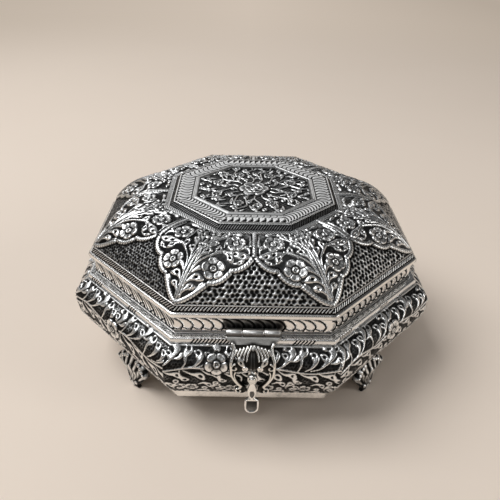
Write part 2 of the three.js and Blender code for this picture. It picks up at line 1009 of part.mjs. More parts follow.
function rivet() {
  return button(
    [
      [0, 0],
      [rivetRadius, 0],
      [rivetRadius, rivetHeight / 3],
      [rivetRadius / 2, rivetHeight],
      [0, rivetHeight],
    ],
    pinRound / 2,
  );
}

// The hinge rivets face the back
function placeRivet(name, x, y, z) {
  const mesh = place(lid, name, rivet().rotateX(Math.PI), brightSilver());
  mesh.position.set(x, y, z);
}

function hinge(name, centre) {
  place(base, `hinge_${name}_base_leaf`, geometryOf(hingeBaseLeaf(centre)), darkSilver());
  place(lid, `hinge_${name}_lid_leaf`, geometryOf(hingeLidLeaf(centre)), darkSilver());
  const pin = circle(hingeAxis.y, hingeAxis.z, hingePinRadius, pinRound);
  const pinGeometry = alongX(pin, centre - hingeHalfWidth, centre + hingeHalfWidth);
  place(base, `hinge_${name}_pin`, pinGeometry, brightSilver());
  const face = halfDepth - skirtInset + hingeLeafThickness;
  const height = seamHeight + (hingeLeafRise + hingeLeafThickness + runningClearance) / 2;
  placeRivet(`hinge_${name}_rivet_left`, centre - rivetSpacing, face, height);
  placeRivet(`hinge_${name}_rivet_right`, centre + rivetSpacing, face, height);
}

hinge("left", -hingeSpacing);
hinge("right", hingeSpacing);

const haspReach = haspRadius + runningClearance - skirtInset;
const haspAxis = { y: -halfDepth - haspReach, z: seamHeight + haspAxisHeight };
const haspMiddle = [[-haspKnuckleHalfWidth, haspKnuckleHalfWidth]];
const haspOuter = [
  [-haspHalfWidth, -haspKnuckleHalfWidth - runningClearance],
  [haspKnuckleHalfWidth + runningClearance, haspHalfWidth],
];

function haspLeaf() {
  const profile = [
    [-skirtInset, haspAxis.z],
    [haspLeafThickness - skirtInset, haspAxis.z],
    [haspLeafThickness - skirtInset, haspAxis.z + haspLeafRise],
    [-skirtInset, haspAxis.z + haspLeafRise],
  ];
  const plate = solid(alongX(inYZ(profile, -1), -haspHalfWidth, haspHalfWidth));
  return leafWithKnuckles({
    plate,
    axis: haspAxis,
    radius: haspRadius,
    bore: haspPinRadius,
    own: haspOuter,
    others: haspMiddle,
  });
}

const haspInside = bulgeReach + haspGap;
const haspOutside = haspInside + haspThickness;

// Seen from the side the hasp steps over the rim and hangs outside the bulge
function haspSide() {
  const bend = seamHeight - haspBend;
  const slant = haspThickness / 2;
  const neck = rimReach + haspThickness;
  return [
    [haspReach, haspAxis.z - slant],
    [rimReach + haspGap, seamHeight],
    [neck + haspGap, seamHeight - rimHeight / 2 - slant],
    [haspInside, bend],
    [haspInside, bandBottom + haspTipHeight],
    [haspOutside, bandBottom + haspTipHeight],
    [haspOutside, bend + slant],
    [neck + haspThickness + haspGap, seamHeight - rimHeight / 2 + slant],
    [rimReach + haspThickness + haspGap, seamHeight + slant],
    [haspReach + slant, haspAxis.z + slant],
  ];
}

// Seen from the front it is waisted, with two lobes and an open slot between tapering arms
function haspFront() {
  const tip = bandBottom + haspTipHeight;
  const head = haspAxis.z + haspRadius;
  const slotTop = bandBottom + haspSlotTop;
  const right = outline([
    [haspSlotHalfWidth, tip],
    [haspTipHalfWidth, tip],
    [haspTipHalfWidth, tip + haspThickness],
    [haspNeckHalfWidth, tip + haspNeckRise],
    [haspBellyHalfWidth, (tip + slotTop) / 2 + haspNeckRise],
    [haspLobeHalfWidth, slotTop],
    [haspLobeHalfWidth, seamHeight - haspBend + haspNeckRise],
    [haspWaistHalfWidth, seamHeight - rimHeight / 2],
    [haspHalfWidth, seamHeight + haspThickness],
    [haspHalfWidth, head],
  ]);
  const arch = outline([
    [-haspSlotHalfWidth, slotTop - haspSlotHalfWidth],
    [-haspSlotHalfWidth / 2, slotTop],
    [haspSlotHalfWidth / 2, slotTop],
    [haspSlotHalfWidth, slotTop - haspSlotHalfWidth],
  ]);
  return [...mirrored(right), ...arch];
}

function haspPlate() {
  const side = solid(alongX(inYZ(haspSide(), -1), -haspHalfWidth, haspHalfWidth));
  const front = solid(alongY(haspFront(), -halfDepth - haspOutside - overrun, -halfDepth + overrun));
  return leafWithKnuckles({
    plate: side.intersect(front),
    axis: haspAxis,
    radius: haspRadius,
    bore: haspPinRadius + runningClearance,
    own: haspMiddle,
    others: haspOuter,
  });
}

place(lid, "hasp_lid_leaf", geometryOf(haspLeaf()), silver());
const haspPin = circle(haspAxis.y, haspAxis.z, haspPinRadius, pinRound);
place(lid, "hasp_pin", alongX(haspPin, -haspHalfWidth, haspHalfWidth), brightSilver());
place(hasp, "hasp_plate", geometryOf(haspPlate()), silver());

function boss() {
  return button(
    [
      [0, 0],
      [bossRadius, 0],
      [bossRadius, bossHeight / 2],
      [bossRadius / 2, bossHeight],
      [0, bossHeight],
    ],
    pinRound,
  );
}

const bossZ = seamHeight - haspBend - bossRadius;
for (const [name, sign] of [["left", -1], ["right", 1]]) {
  const mesh = place(hasp, `hasp_boss_${name}`, boss(), brightSilver());
  mesh.position.set(sign * bossSpacing, -halfDepth - haspOutside, bossZ);
}

// Post and turning peg

const pegZ = bandBottom + pegAxisHeight;
const pegInside = haspOutside + runningClearance * 2;
const pegOutside = pegInside + pegThickness;

function stapleFlange() {
  const profile = [
    [0, 0],
    [postFlangeRadius, 0],
    [postFlangeRadius, postFlangeHeight],
    [postRadius, postFlangeHeight],
    [postRadius, pegOutside + runningClearance - bulgeReach],
    [postHeadRadius, pegOutside + runningClearance - bulgeReach],
    [postHeadRadius / 2, pegOutside + runningClearance + postHeadHeight - bulgeReach],
    [0, pegOutside + runningClearance + postHeadHeight - bulgeReach],
  ];
  return button(profile, pinRound);
}

function turnPeg() {
  const eye = circle(0, pegZ, pegEyeRadius, pinRound);
  const barBottom = pegZ - pegBarLength;
  const tip = barBottom - tabLength;
  const bar = outline([
    [-pegHalfWidth, barBottom - overrun / 2],
    [pegHalfWidth, barBottom - overrun / 2],
    [pegHalfWidth, pegZ],
    [-pegHalfWidth, pegZ],
  ]);
  const right = outline([
    [tabHalfWidth / 2, tip],
    [tabHalfWidth, tip + tabHalfWidth / 2],
    [tabHalfWidth, barBottom - tabHalfWidth / 2],
    [tabHalfWidth / 2, barBottom],
  ]);
  const from = -halfDepth - pegOutside;
  const to = -halfDepth - pegInside;
  const hole = circle(0, pegZ, postRadius + runningClearance, pinRound);
  return solid(alongY(eye, from, to))
    .add(solid(alongY(bar, from, to)))
    .add(solid(alongY(mirrored(right), from, to)))
    .subtract(solid(alongY(hole, from - overrun, to + overrun)));
}

const post = place(base, "staple_post", stapleFlange(), brightSilver());
post.position.set(0, -halfDepth - bulgeReach, pegZ);
place(peg, "turn_peg", geometryOf(turnPeg()), brightSilver());

// The box is centred between its foremost and rearmost faces
const foremost = pegOutside + runningClearance + postHeadHeight;
box.position.y = (foremost - bulgeReach) / 2;

export default box;
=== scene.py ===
import math

import bmesh
import bpy
import numpy as np
from mathutils import Matrix, Vector


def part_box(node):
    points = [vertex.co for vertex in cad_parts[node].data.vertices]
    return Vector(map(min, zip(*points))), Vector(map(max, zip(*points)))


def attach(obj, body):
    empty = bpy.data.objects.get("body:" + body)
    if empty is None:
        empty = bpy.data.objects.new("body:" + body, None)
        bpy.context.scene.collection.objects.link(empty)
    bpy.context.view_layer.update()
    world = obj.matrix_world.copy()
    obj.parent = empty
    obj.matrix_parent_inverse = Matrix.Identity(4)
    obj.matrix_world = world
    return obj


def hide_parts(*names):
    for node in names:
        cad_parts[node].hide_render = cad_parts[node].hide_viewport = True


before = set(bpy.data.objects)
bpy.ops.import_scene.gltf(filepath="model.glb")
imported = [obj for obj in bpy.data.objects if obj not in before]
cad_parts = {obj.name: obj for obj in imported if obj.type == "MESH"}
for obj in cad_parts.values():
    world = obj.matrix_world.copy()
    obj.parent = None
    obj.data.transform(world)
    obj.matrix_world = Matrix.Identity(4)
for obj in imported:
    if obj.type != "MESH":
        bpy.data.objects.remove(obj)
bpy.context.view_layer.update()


# The camera stands close in front of the box and about 32 degrees above it, rolled a little to one
# side, as the photograph was taken.
aim = Vector((-0.00161, 0.003, 0.06142))
stand_off = 0.35468
turn_angle = math.radians(-0.781)
tilt_angle = math.radians(32.204)
roll_angle = math.radians(1.496)
towards_camera = Vector((
    math.sin(turn_angle) * math.cos(tilt_angle),
    -math.cos(turn_angle) * math.cos(tilt_angle),
    math.sin(tilt_angle),
))
level_right = Vector((0, 0, 1)).cross(towards_camera).normalized()
level_up = towards_camera.cross(level_right)
camera_right = math.cos(roll_angle) * level_right + math.sin(roll_angle) * level_up
camera_up = towards_camera.cross(camera_right)
camera = bpy.data.objects.new("camera", bpy.data.cameras.new("camera"))
camera.data.sensor_width = 36
camera.data.lens = 37.92
camera.data.clip_start = 0.01
camera.matrix_world = (
    Matrix.Translation(aim + stand_off * towards_camera)
    @ Matrix((camera_right, camera_up, towards_camera)).transposed().to_4x4()
)
bpy.context.scene.collection.objects.link(camera)
bpy.context.scene.camera = camera
bpy.context.scene.view_settings.view_transform = "Standard"


# The box stands on a plain sheet of warm pale paper. Soft studio light comes from a large screen at
# the left, a small one at the right, one above the camera and a low wide one behind.
class Value:
    """A shader socket that takes part in sums."""

    def __init__(self, finish, socket):
        self.finish = finish
        self.socket = socket

    def sum_with(self, operation, first, second):
        return self.finish.node("ShaderNodeMath", {"operation": operation}, {0: first, 1: second})

    def __add__(self, other):
        return self.sum_with("ADD", self, other)

    def __sub__(self, other):
        return self.sum_with("SUBTRACT", self, other)

    def __rsub__(self, other):
        return self.sum_with("SUBTRACT", other, self)

    def __mul__(self, other):
        return self.sum_with("MULTIPLY", self, other)

    __radd__ = __add__
    __rmul__ = __mul__


class Finish:
    """A material, or the world, built up from nodes."""

    def __init__(self, name, owner=None):
        self.material = owner or bpy.data.materials.new(name)
        self.material.use_nodes = True
        self.tree = self.material.node_tree
        self.shader = self.tree.nodes.get("Principled BSDF")

    def node(self, kind, settings=None, sockets=None, output=0):
        node = self.tree.nodes.new(kind)
        for name, setting in (settings or {}).items():
            if name == "stops":
                ramp = node.color_ramp
                while len(ramp.elements) < len(setting):
                    ramp.elements.new(1)
                for element, (position, colour) in zip(ramp.elements, setting):
                    element.position = position
                    element.color = (*colour, 1)
            else:
                setattr(node, name, setting)
        for name, given in (sockets or {}).items():
            self.feed(node.inputs[name], given)
        return Value(self, node.outputs[output])

    def feed(self, socket, given):
        if isinstance(given, Value):
            self.tree.links.new(given.socket, socket)
        else:
            socket.default_value = given

    def set(self, **sockets):
        for name, given in sockets.items():
            self.feed(self.shader.inputs[name.replace("_", " ")], given)
        return self.material

    def place(self):
        return self.node("ShaderNodeTexCoord", output="Object")

    def cloud(self, scale, detail=2.0, vector=None):
        sockets = {"Vector": vector or self.place(), "Scale": scale, "Detail": detail}
        return self.node("ShaderNodeTexNoise", {}, sockets)

    def ramp(self, stops, share):
        return self.node("ShaderNodeValToRGB", {"stops": stops}, {"Fac": share})

    def stretched(self, scale):
        sockets = {"Vector": self.place(), "Scale": scale}
        return self.node("ShaderNodeMapping", {}, sockets)

    def bump(self, height, strength, distance):
        sockets = {"Height": height, "Strength": strength, "Distance": distance}
        return self.node("ShaderNodeBump", {}, sockets)


def paper():
    """Lit paper near the box, which goes over into a glowing colour of the room farther away, with
    painted shade that darkens it towards both sides.
    """
    lit_reach, plain_reach, room_width = 0.45, 1.5, 4.0
    finish = Finish("paper")
    colour = finish.ramp([(0.3, (0.90, 0.78, 0.67)), (0.7, (0.92, 0.80, 0.69))], finish.cloud(3.0))
    finish.set(Base_Color=colour, Roughness=0.9)
    distance = finish.node("ShaderNodeVectorMath", {"operation": "LENGTH"}, {0: finish.place()},
                           output="Value")
    beyond = finish.node("ShaderNodeMapRange", {"interpolation_type": "SMOOTHSTEP"},
                         {"Value": distance, "From Min": lit_reach, "From Max": plain_reach})
    seen = finish.node("ShaderNodeLightPath", output="Is Camera Ray")
    mirrored = finish.node("ShaderNodeLightPath", output="Is Glossy Ray")
    # Painted shade: the far colour darkens towards both sides of the room, most to the right.
    across = finish.node("ShaderNodeSeparateXYZ", {}, {"Vector": finish.place()}, output="X")
    far_colour = finish.ramp([
        (0.25, (0.52, 0.445, 0.37)), (0.5, (0.62, 0.532, 0.448)), (0.72, (0.46, 0.392, 0.325)),
    ], across * (1 / room_width) + 0.5)
    glow = finish.node("ShaderNodeEmission", {}, {"Color": far_colour})
    lit = Value(finish, finish.shader.outputs["BSDF"])
    blend = finish.node("ShaderNodeMixShader", {}, {0: beyond * (seen + mirrored), 1: lit, 2: glow})
    finish.feed(finish.tree.nodes["Material Output"].inputs["Surface"], blend)
    return finish.material


bpy.ops.mesh.primitive_grid_add(x_subdivisions=8, y_subdivisions=8, size=8.0)
floor = bpy.context.object
floor.name = "paper_floor"
floor.data.materials.append(paper())


def screen(name, place, size, power, colour=(1.0, 1.0, 1.0)):
    lamp = bpy.data.lights.new(name, "AREA")
    lamp.shape = "RECTANGLE"
    lamp.size, lamp.size_y = size
    lamp.energy = power
    lamp.color = colour
    holder = bpy.data.objects.new(name, lamp)
    holder.location = place
    towards_box = Vector((0, 0, 0.06)) - Vector(place)
    holder.rotation_euler = towards_box.to_track_quat("-Z", "Y").to_euler()
    bpy.context.scene.collection.objects.link(holder)


screen("left_screen", (-1.25, -0.05, 1.95), (1.60, 1.40), 38.5)
screen("right_screen", (1.10, -0.45, 0.62), (0.35, 0.60), 2.4, (1.0, 0.99, 0.97))
screen("front_screen", (-0.30, -1.70, 2.10), (1.00, 0.45), 4.0)
screen("back_screen", (-0.45, 1.95, 1.25), (2.0, 0.90), 5.5)

world = Finish("studio", bpy.data.worlds.new("studio"))
bpy.context.scene.world = world.material
heading = world.node("ShaderNodeTexCoord", output="Generated")
height_seen = world.node("ShaderNodeSeparateXYZ", {}, {"Vector": heading}, output="Z")
room = world.ramp([
    (0.0, (1.0, 0.87, 0.74)), (0.08, (0.95, 0.83, 0.71)), (0.17, (0.62, 0.56, 0.50)),
    (0.28, (0.52, 0.48, 0.44)), (0.44, (0.15, 0.15, 0.15)), (0.75, (0.09, 0.09, 0.09)),
    (0.91, (0.11, 0.11, 0.11)), (0.965, (0.45, 0.45, 0.45)), (1.0, (0.60, 0.60, 0.60)),
], height_seen)
backdrop = world.tree.nodes["Background"]
world.feed(backdrop.inputs["Color"], room)
backdrop.inputs["Strength"].default_value = 0.55


# The base band is a plain polished strip bent round the foot of the box and soldered to the floor
# sheet, which closes the underside.
MM = 0.001
lip_low, lip_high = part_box("lid_lip")
centre_y = (lip_low.y + lip_high.y) / 2
lip_front_half, lip_end_half = 42.5, 33.5
lip_half_depth = (lip_high.y - lip_low.y) / 2 / MM
lip_plan = np.array([lip_high.x / MM, lip_half_depth, lip_front_half, lip_end_half])


def grown(plan, distance):
    """An octagon moved outwards, given as half its length, depth, front side and end side."""
    length, depth, front, end = np.moveaxis(plan, -1, 0)
    turn = np.arctan2(depth - end, length - front)
    return np.stack([
        length + distance,
        depth + distance,
        front + distance * np.tan(turn / 2),
        end + distance * np.tan((np.pi / 2 - turn) / 2),
    ], axis=-1)


def run_along(*steps):
    """How far along a line each of its points lies, from the steps between them."""
    return np.concatenate([[0], np.cumsum(np.hypot(*steps))])


def corner_points(plan):
    length, depth, front, end = np.moveaxis(plan, -1, 0)
    x = np.stack([-front, front, length, length, front, -front, -length, -length], axis=-1)
    y = np.stack([-depth, -depth, -end, end, depth, depth, end, -end], axis=-1)
    return np.stack([x, y + centre_y / MM], axis=-1)


def silver_polish(name, tone=(0.87, 0.86, 0.84), smooth=0.16, scratch=1.0):
    finish = Finish(name)
    tarnish = finish.cloud(55.0, 4.0)
    spots = finish.cloud(420.0, 2.0)
    wiping = finish.cloud(1.0, 3.0, finish.stretched((300.0, 300.0, 2600.0)))
    age = tarnish * 0.7 + spots * 0.3
    dull = tuple(part * 0.62 for part in tone)
    fair = tuple(part * 0.9 for part in tone)
    colour = finish.ramp([(0.34, dull), (0.46, fair), (0.6, tone)], age)
    roughness = (smooth + 0.16) - age * 0.22 + wiping * 0.06
    normal = finish.bump(spots * 0.4 + wiping * 0.6, 0.25 * scratch, 0.00006)
    return finish.set(Base_Color=colour, Metallic=1.0, Roughness=roughness, Normal=normal)


def silver_dulled(name, tone=(0.30, 0.285, 0.26)):
    finish = Finish(name)
    stain = finish.cloud(70.0, 5.0)
    grain = finish.cloud(1500.0, 2.0)
    dark = tuple(part * 0.35 for part in tone)
    pale = tuple(part * 1.7 for part in tone)
    colour = finish.ramp([(0.35, dark), (0.55, tone), (0.75, pale)], stain * 0.8 + grain * 0.2)
    normal = finish.bump(grain, 0.3, 0.00008)
    return finish.set(Base_Color=colour, Metallic=1.0, Roughness=0.62 - stain * 0.3, Normal=normal)


bright_strip = silver_polish("bright_strip", tone=(0.93, 0.92, 0.90))
plain_sheet = silver_dulled("plain_sheet")


def refinish(node, material):
    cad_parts[node].data.materials.clear()
    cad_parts[node].data.materials.append(material)


def mesh_of(name, points, quads, smooth, shine=None):
    mesh = bpy.data.meshes.new(name)
    mesh.vertices.add(len(points))
    mesh.vertices.foreach_set("co", np.asarray(points, np.float32).ravel())
    mesh.loops.add(quads.size)
    mesh.loops.foreach_set("vertex_index", quads.astype(np.int32).ravel())
    mesh.polygons.add(len(quads))
    mesh.polygons.foreach_set("loop_start", np.arange(0, quads.size, 4, dtype=np.int32))
    mesh.polygons.foreach_set("use_smooth", smooth)
    if shine is not None:
        layer = mesh.attributes.new("shine", "FLOAT", "POINT")
        layer.data.foreach_set("value", np.asarray(shine, np.float32))
    mesh.update(calc_edges=True)
    mesh.validate()
    return mesh


def quads_round(rows, columns, closed=False):
    """Faces that join each row of points to the next, where the rows run round."""
    here = np.arange(columns)
    after = (here + 1) % columns
    lower = (np.arange(rows if closed else rows - 1) * columns)[:, None]
    upper = (lower + columns) % (rows * columns)
    faces = np.stack([lower + here, lower + after, upper + after, upper + here], axis=-1)
    return faces.reshape(-1, 4)


def piece(mesh, material, body, slot, *nodes):
    made = bpy.data.objects.new(mesh.name, mesh)
    bpy.context.scene.collection.objects.link(made)
    mesh.materials.append(material)
    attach(made, body)
    if nodes:
        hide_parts(*nodes)
    return made


class Ring:
    """An eight-sided sheet: outside rows that carry relief, and plain rows behind them."""

    def __init__(self, plans, heights, spacing):
        self.plans = np.asarray(plans, float)
        self.heights = np.asarray(heights, float)
        self.corners = corner_points(self.plans)
        self.mitres = corner_points(grown(self.plans, 1.0)) - self.corners
        run = np.gradient(self.plans[:, 1])
        rise = np.gradient(self.heights)
        length = np.hypot(run, rise)
        self.out = rise / length
        self.up = -run / length
        sides = np.linalg.norm(np.roll(self.corners, -1, axis=1) - self.corners, axis=2)
        self.counts = [int(math.ceil(side / spacing)) for side in sides.max(axis=0)]
        self.canvases = []
        for side, count in enumerate(self.counts):
            across = np.arange(count) / count
            half = sides[:, side, None] / 2
            middle = (self.corners[:, side] + self.corners[:, (side + 1) % 8]) / 2
            moved = np.linalg.norm(np.diff(middle, axis=0), axis=1)
            climb = run_along(moved, np.diff(self.heights))
            x, y = (2 * across - 1) * half, climb[:, None] + 0 * across
            self.canvases.append(Chasing(x, y, half[:, 0]))

    def between(self, corners, side):
        """Points spaced evenly from one end of a side to the other."""
        along = (np.arange(self.counts[side]) / self.counts[side])[:, None]
        return corners[side] * (1 - along) + corners[(side + 1) % 8] * along

    def built(self, name, inside, material, body, slot, *nodes):
        rows, shines = [], []
        for row, height in enumerate(self.heights):
            for side, canvas in enumerate(self.canvases):
                lift = canvas.lift[row][:, None]
                lean = self.between(self.mitres[row], side)
                flat = self.between(self.corners[row], side) + lift * self.out[row] * lean
                rows.append(np.hstack([flat, height + lift * self.up[row]]))
                shines.append(canvas.shine[row])
        for plan, height in inside:
            corners = corner_points(np.asarray(plan, float))
            for side, count in enumerate(self.counts):
                rows.append(np.hstack([self.between(corners, side), np.full((count, 1), height)]))
                shines.append(np.full(count, 0.5))
        columns = sum(self.counts)
        total = len(self.heights) + len(inside)
        smooth = np.repeat(np.arange(total) < len(self.heights) - 1, columns)
        mesh = mesh_of(name, np.vstack(rows) * MM, quads_round(total, columns, closed=True), smooth,
                       np.concatenate(shines))
        return piece(mesh, material, body, slot, *nodes)


def curved(points, steps=8, closed=False):
    points = np.asarray(points, float)
    if closed:
        points = np.vstack([points[-1], points, points[:2]])
    else:
        points = np.vstack([2 * points[0] - points[1], points, 2 * points[-1] - points[-2]])
    path = []
    for a, b, c, d in zip(points[:-3], points[1:-2], points[2:-1], points[3:]):
        for step in range(steps):
            t = step / steps
            path.append(0.5 * (2 * b + (c - a) * t + (2 * a - 5 * b + 4 * c - d) * t ** 2
                               + (3 * b - a - 3 * c + d) * t ** 3))
    if not closed:
        path.append(points[-2])
    return np.array(path)


def bell(value, middle, width):
    return np.exp(-((value - middle) / width) ** 2)


def clamped(value):
    return np.clip(value, 0, 1)


def wave(place, pitch):
    return 0.5 + 0.5 * np.cos(2 * np.pi * place / pitch)


def steps(place, last, pitch):
    while place < last:
        yield place
        place += pitch


class Chasing:
    """Ornament raised on a sheet: a grid of places in millimetres and the height at each."""

    def __init__(self, x, y, half):
        self.x, self.y, self.half = x, y, half
        self.reach = float(half.max())
        self.lift = np.zeros_like(x)
        self.gloss = np.zeros_like(x)
        self.shine = np.full_like(x, 0.6)

    def near(self, left, right, low, high):
        return np.nonzero((self.x > left) & (self.x < right) & (self.y > low) & (self.y < high))

    def around(self, x, y, radius):
        spot = self.near(x - radius, x + radius, y - radius, y + radius)
        return spot, np.hypot(self.x[spot] - x, self.y[spot] - y) / radius

    def across(self, y):
        return [(-self.reach, y), (self.reach, y)]

    def level(self, x, y, radius):
        self.lift = np.where(np.hypot(self.x - x, self.y - y) < radius, 0.0, self.lift)

    def raise_to(self, spot, height, within):
        self.lift[spot] = np.where(within, np.maximum(self.lift[spot], height), self.lift[spot])

    def follow(self, path, margin):
        """The places near a path: how far off it, how far along it and on which hand they lie."""
        path = np.asarray(path, float)
        low, high = path.min(axis=0) - margin, path.max(axis=0) + margin
        spot = self.near(low[0], high[0], low[1], high[1])
        x, y = self.x[spot], self.y[spot]
        distance = np.full(x.shape, np.inf)
        run = np.zeros(x.shape)
        hand = np.ones(x.shape)
        done = 0.0
        for (x0, y0), (x1, y1) in zip(path[:-1], path[1:]):
            step = math.hypot(x1 - x0, y1 - y0) or 1e-9
            ux, uy = (x1 - x0) / step, (y1 - y0) / step
            along = np.clip((x - x0) * ux + (y - y0) * uy, 0, step)
            away = np.hypot(x - x0 - along * ux, y - y0 - along * uy)
            closer = away < distance
            distance = np.where(closer, away, distance)
            run = np.where(closer, done + along, run)
            hand = np.where(closer, np.sign((x - x0) * uy - (y - y0) * ux), hand)
            done += step
        return spot, distance, run, done, hand

    def ridge(self, path, width, height, taper=1.0, twist=0.0, pitch=1.6, moat=0.0, flat=0.5):
        """A raised line, which can taper, stand in a fine moat, or carry the strokes of a rope."""
        spot, distance, run, length, hand = self.follow(path, width)
        thin = 1 + (taper - 1) * run / length
        half = width / 2 * thin
        self.lift[spot] -= moat * bell(distance, half, 0.5)
        height = height * (0.4 + 0.6 * thin) * (1 - clamped(distance / half) ** 2) ** flat
        if twist:
            stroke = wave(run + hand * distance * 0.7, pitch)
            height = height * (1 - twist * stroke)
            self.gloss[spot] -= np.where(distance < 0.9 * half, 3.4 * twist * stroke ** 2, 0.0)
        self.raise_to(spot, height, distance < half)

    def cut(self, path, width, depth):
        spot, distance, *_ = self.follow(path, width)
        groove = bell(distance, 0, width / 2)
        self.lift[spot] -= depth * groove
        self.gloss[spot] -= 1.1 * depth * groove

    def stroke(self, points, width, depth):
        self.cut(curved(points, 4), width, depth)

    def bead(self, x, y, radius, height):
        spot, part = self.around(x, y, radius)
        self.raise_to(spot, height * np.sqrt(clamped(1 - part ** 2)), part < 1)

    def loop(self, x, y, radius, height):
        spot, part = self.around(x, y, radius)
        self.raise_to(spot, height * bell(part, 0.66, 0.26), part < 1)

    def drill(self, x, y, radius, depth, along=(1.0, 0.0), longer=1.45):
        spot = self.near(x - 3 * radius, x + 3 * radius, y - 3 * radius, y + 3 * radius)
        dx, dy = self.x[spot] - x, self.y[spot] - y
        far = (dx * along[0] + dy * along[1]) / longer
        off = -dx * along[1] + dy * along[0]
        part = np.hypot(far, off) / radius
        self.lift[spot] -= depth * np.exp(-part ** 4)

    def flower(self, x, y, radius, petals=5, spin=0.0, height=1.0):
        """Cupped petals with a crease down the middle, round a ring and a small bead."""
        spot = self.near(x - 1.1 * radius, x + 1.1 * radius, y - 1.1 * radius, y + 1.1 * radius)
        dx, dy = self.x[spot] - x, self.y[spot] - y
        part = np.hypot(dx, dy) / radius
        angle = np.arctan2(dy, dx) + spin
        lobe = np.abs(np.cos(angle * petals / 2))
        edge = part / (0.70 + 0.30 * lobe ** 0.5)
        cup = 0.68 + 0.32 * bell(edge, 0.86, 0.15) - 0.30 * bell(part, 0.34, 0.06)
        cup *= 1 - 0.8 * bell(lobe, 0, 0.15)
        cup *= 1 - 0.12 * bell(lobe, 1, 0.02) * (part > 0.5)
        cup += 0.06 * np.cos(angle * petals * 4) * clamped(part - 0.4)
        cup *= np.sqrt(clamped((1 - edge) / 0.12))
        ring = 1.1 * bell(part, 0.2, 0.065)
        whole = height * np.where(part < 0.3, np.maximum(ring, 0.08), cup)
        clear = edge < 1
        self.lift[spot] = np.where(clear, whole, self.lift[spot])
        self.gloss[spot] -= np.where(clear & (part > 0.3), 0.16, 0.0)
        self.bead(x, y, 0.08 * radius, 0.75 * height)

    def leaf(self, path, width, height=1.0, holes=(), root=0.9, slim=1.3):
        """A blade that grows from a narrow root to a round end, along a path. Its drilled holes are
        given as (share of the length, offset in half widths, size)."""
        path = curved(path, 6)
        spot, distance, run, length, hand = self.follow(path, width)
        share = run / length
        widest = 0.72
        half = root / 2 + (width - root) / 2 * clamped(share / widest) ** slim
        half = half * np.sqrt(np.clip(1 - clamped((share - widest) / 0.32) ** 2, 0.02, 1))
        edge = distance / half
        body = height * (0.72 + 0.28 * share) * clamped(1 - edge ** 2) ** 0.4
        body *= 1 - 0.35 * bell(edge, 0.15, 0.22) * (1 - share)
        self.raise_to(spot, body, edge < 1)
        for along, aside, size in holes:
            index = int(along * (len(path) - 1))
            step = path[min(index + 1, len(path) - 1)] - path[max(index - 1, 0)]
            step = step / (np.hypot(*step) or 1)
            x, y = path[index] + aside * width / 2 * np.array([-step[1], step[0]])
            self.drill(x, y, size * width / 2, height, step)

    def pits(self, mask, spacing, radius, net):
        """Punched dents in wandering rows, with a raised net left between them."""
        pitch = spacing * math.sqrt(3) / 2
        nearest = np.full(self.x.shape, np.inf)
        level = np.floor(self.y / pitch)
        for up in (-1, 0, 1, 2):
            row = level + up
            offset = 0.5 * (row % 2)
            for side in (-1, 0, 1, 2):
                column = np.floor(self.x / spacing - offset) + side
                wander = np.sin(row * 12.9 + column * 78.2) * 43758.5
                shift_x = (wander % 1 - 0.5) * 0.34 * spacing
                shift_y = (wander * 1.7 % 1 - 0.5) * 0.34 * spacing
                size = 0.85 + 0.3 * (wander * 3.1 % 1)
                away = np.hypot(self.x - (column + offset) * spacing - shift_x,
                                self.y - row * pitch - shift_y) / size
                nearest = np.minimum(nearest, away)
        part = clamped((nearest - 0.6 * radius) / (0.7 * radius))
        ground = net * part * part * (3 - 2 * part)
        self.lift = np.where(mask, np.maximum(self.lift, ground), self.lift)

    def rub(self, ground=0.1, reach=0.8, wide=3, deep=1.0):
        """Finds how bright each place is rubbed: high spots and edges shine, hollows stay black."""
        soft, width = self.lift, 2 * wide + 1
        for _ in range(4):
            total = np.cumsum(np.pad(soft, ((wide, wide), (0, 0)), mode="edge"), axis=0)
            total = np.pad(total, ((1, 0), (0, 0)))
            soft = ((total[width:] - total[:-width]) / width).T
        bump = np.maximum((self.lift - soft) / reach, -deep)
        bump *= np.where(bump < 0, 2.5, 1.4)
        self.shine = clamped(ground + self.gloss + 0.5 * self.lift / reach + bump)


def plain_back(reach, low, high):
    """The plain inner face of a ring that follows the lip's plan."""
    plan = grown(lip_plan, reach)
    return [(plan, high.z / MM), (plan, low.z / MM)]


band_low, band_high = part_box("base_band")
band_reach = band_high.x / MM - lip_plan[0]
band_thickness = 2.6
band_heights = np.array([0, 0.35, 1.1, 3.6, 6.2, 7.0, 7.5]) + band_low.z / MM
band_plans = grown(lip_plan, band_reach + np.array([-0.5, -0.12, 0, 0, 0, -0.12, -0.5]))
band = Ring(band_plans, band_heights, spacing=0.5)
band.canvases[0].cut([(-29.6, 0.0), (-29.9, 3.0), (-29.4, 9.0)], width=0.7, depth=0.35)
band.built("base_band_strip", plain_back(band_reach - band_thickness, band_low, band_high),
           bright_strip, "base", "bright_silver", "base_band")
refinish("base_floor", plain_sheet)


# The base wall is one sheet beaten out into eight bulging panels. A vine with teardrop leaves and
# five-petalled flowers is chased round it, its ground blackened and its high parts rubbed bright.
def silver_chased(name, bright=(0.86, 0.87, 0.875), dark=(0.010, 0.010, 0.010)):
    finish = Finish(name)
    rubbed = finish.node("ShaderNodeAttribute", {"attribute_name": "shine"}, output="Fac")
    grain = finish.cloud(2600.0, 2.0)
    patch = finish.cloud(140.0, 3.0)
    worn = rubbed + (grain - 0.5) * 0.22 + (patch - 0.5) * 0.25
    low = tuple(0.08 * b for b in bright)
    middle = tuple(0.34 * b for b in bright)
    colour = finish.ramp([(0.08, dark), (0.32, low), (0.56, middle), (0.84, bright)], worn)
    roughness = 0.52 - worn * 0.30 + patch * 0.06
    normal = finish.bump(grain, 0.12, 0.00007)
    return finish.set(Base_Color=colour, Metallic=1.0, Roughness=roughness, Normal=normal)


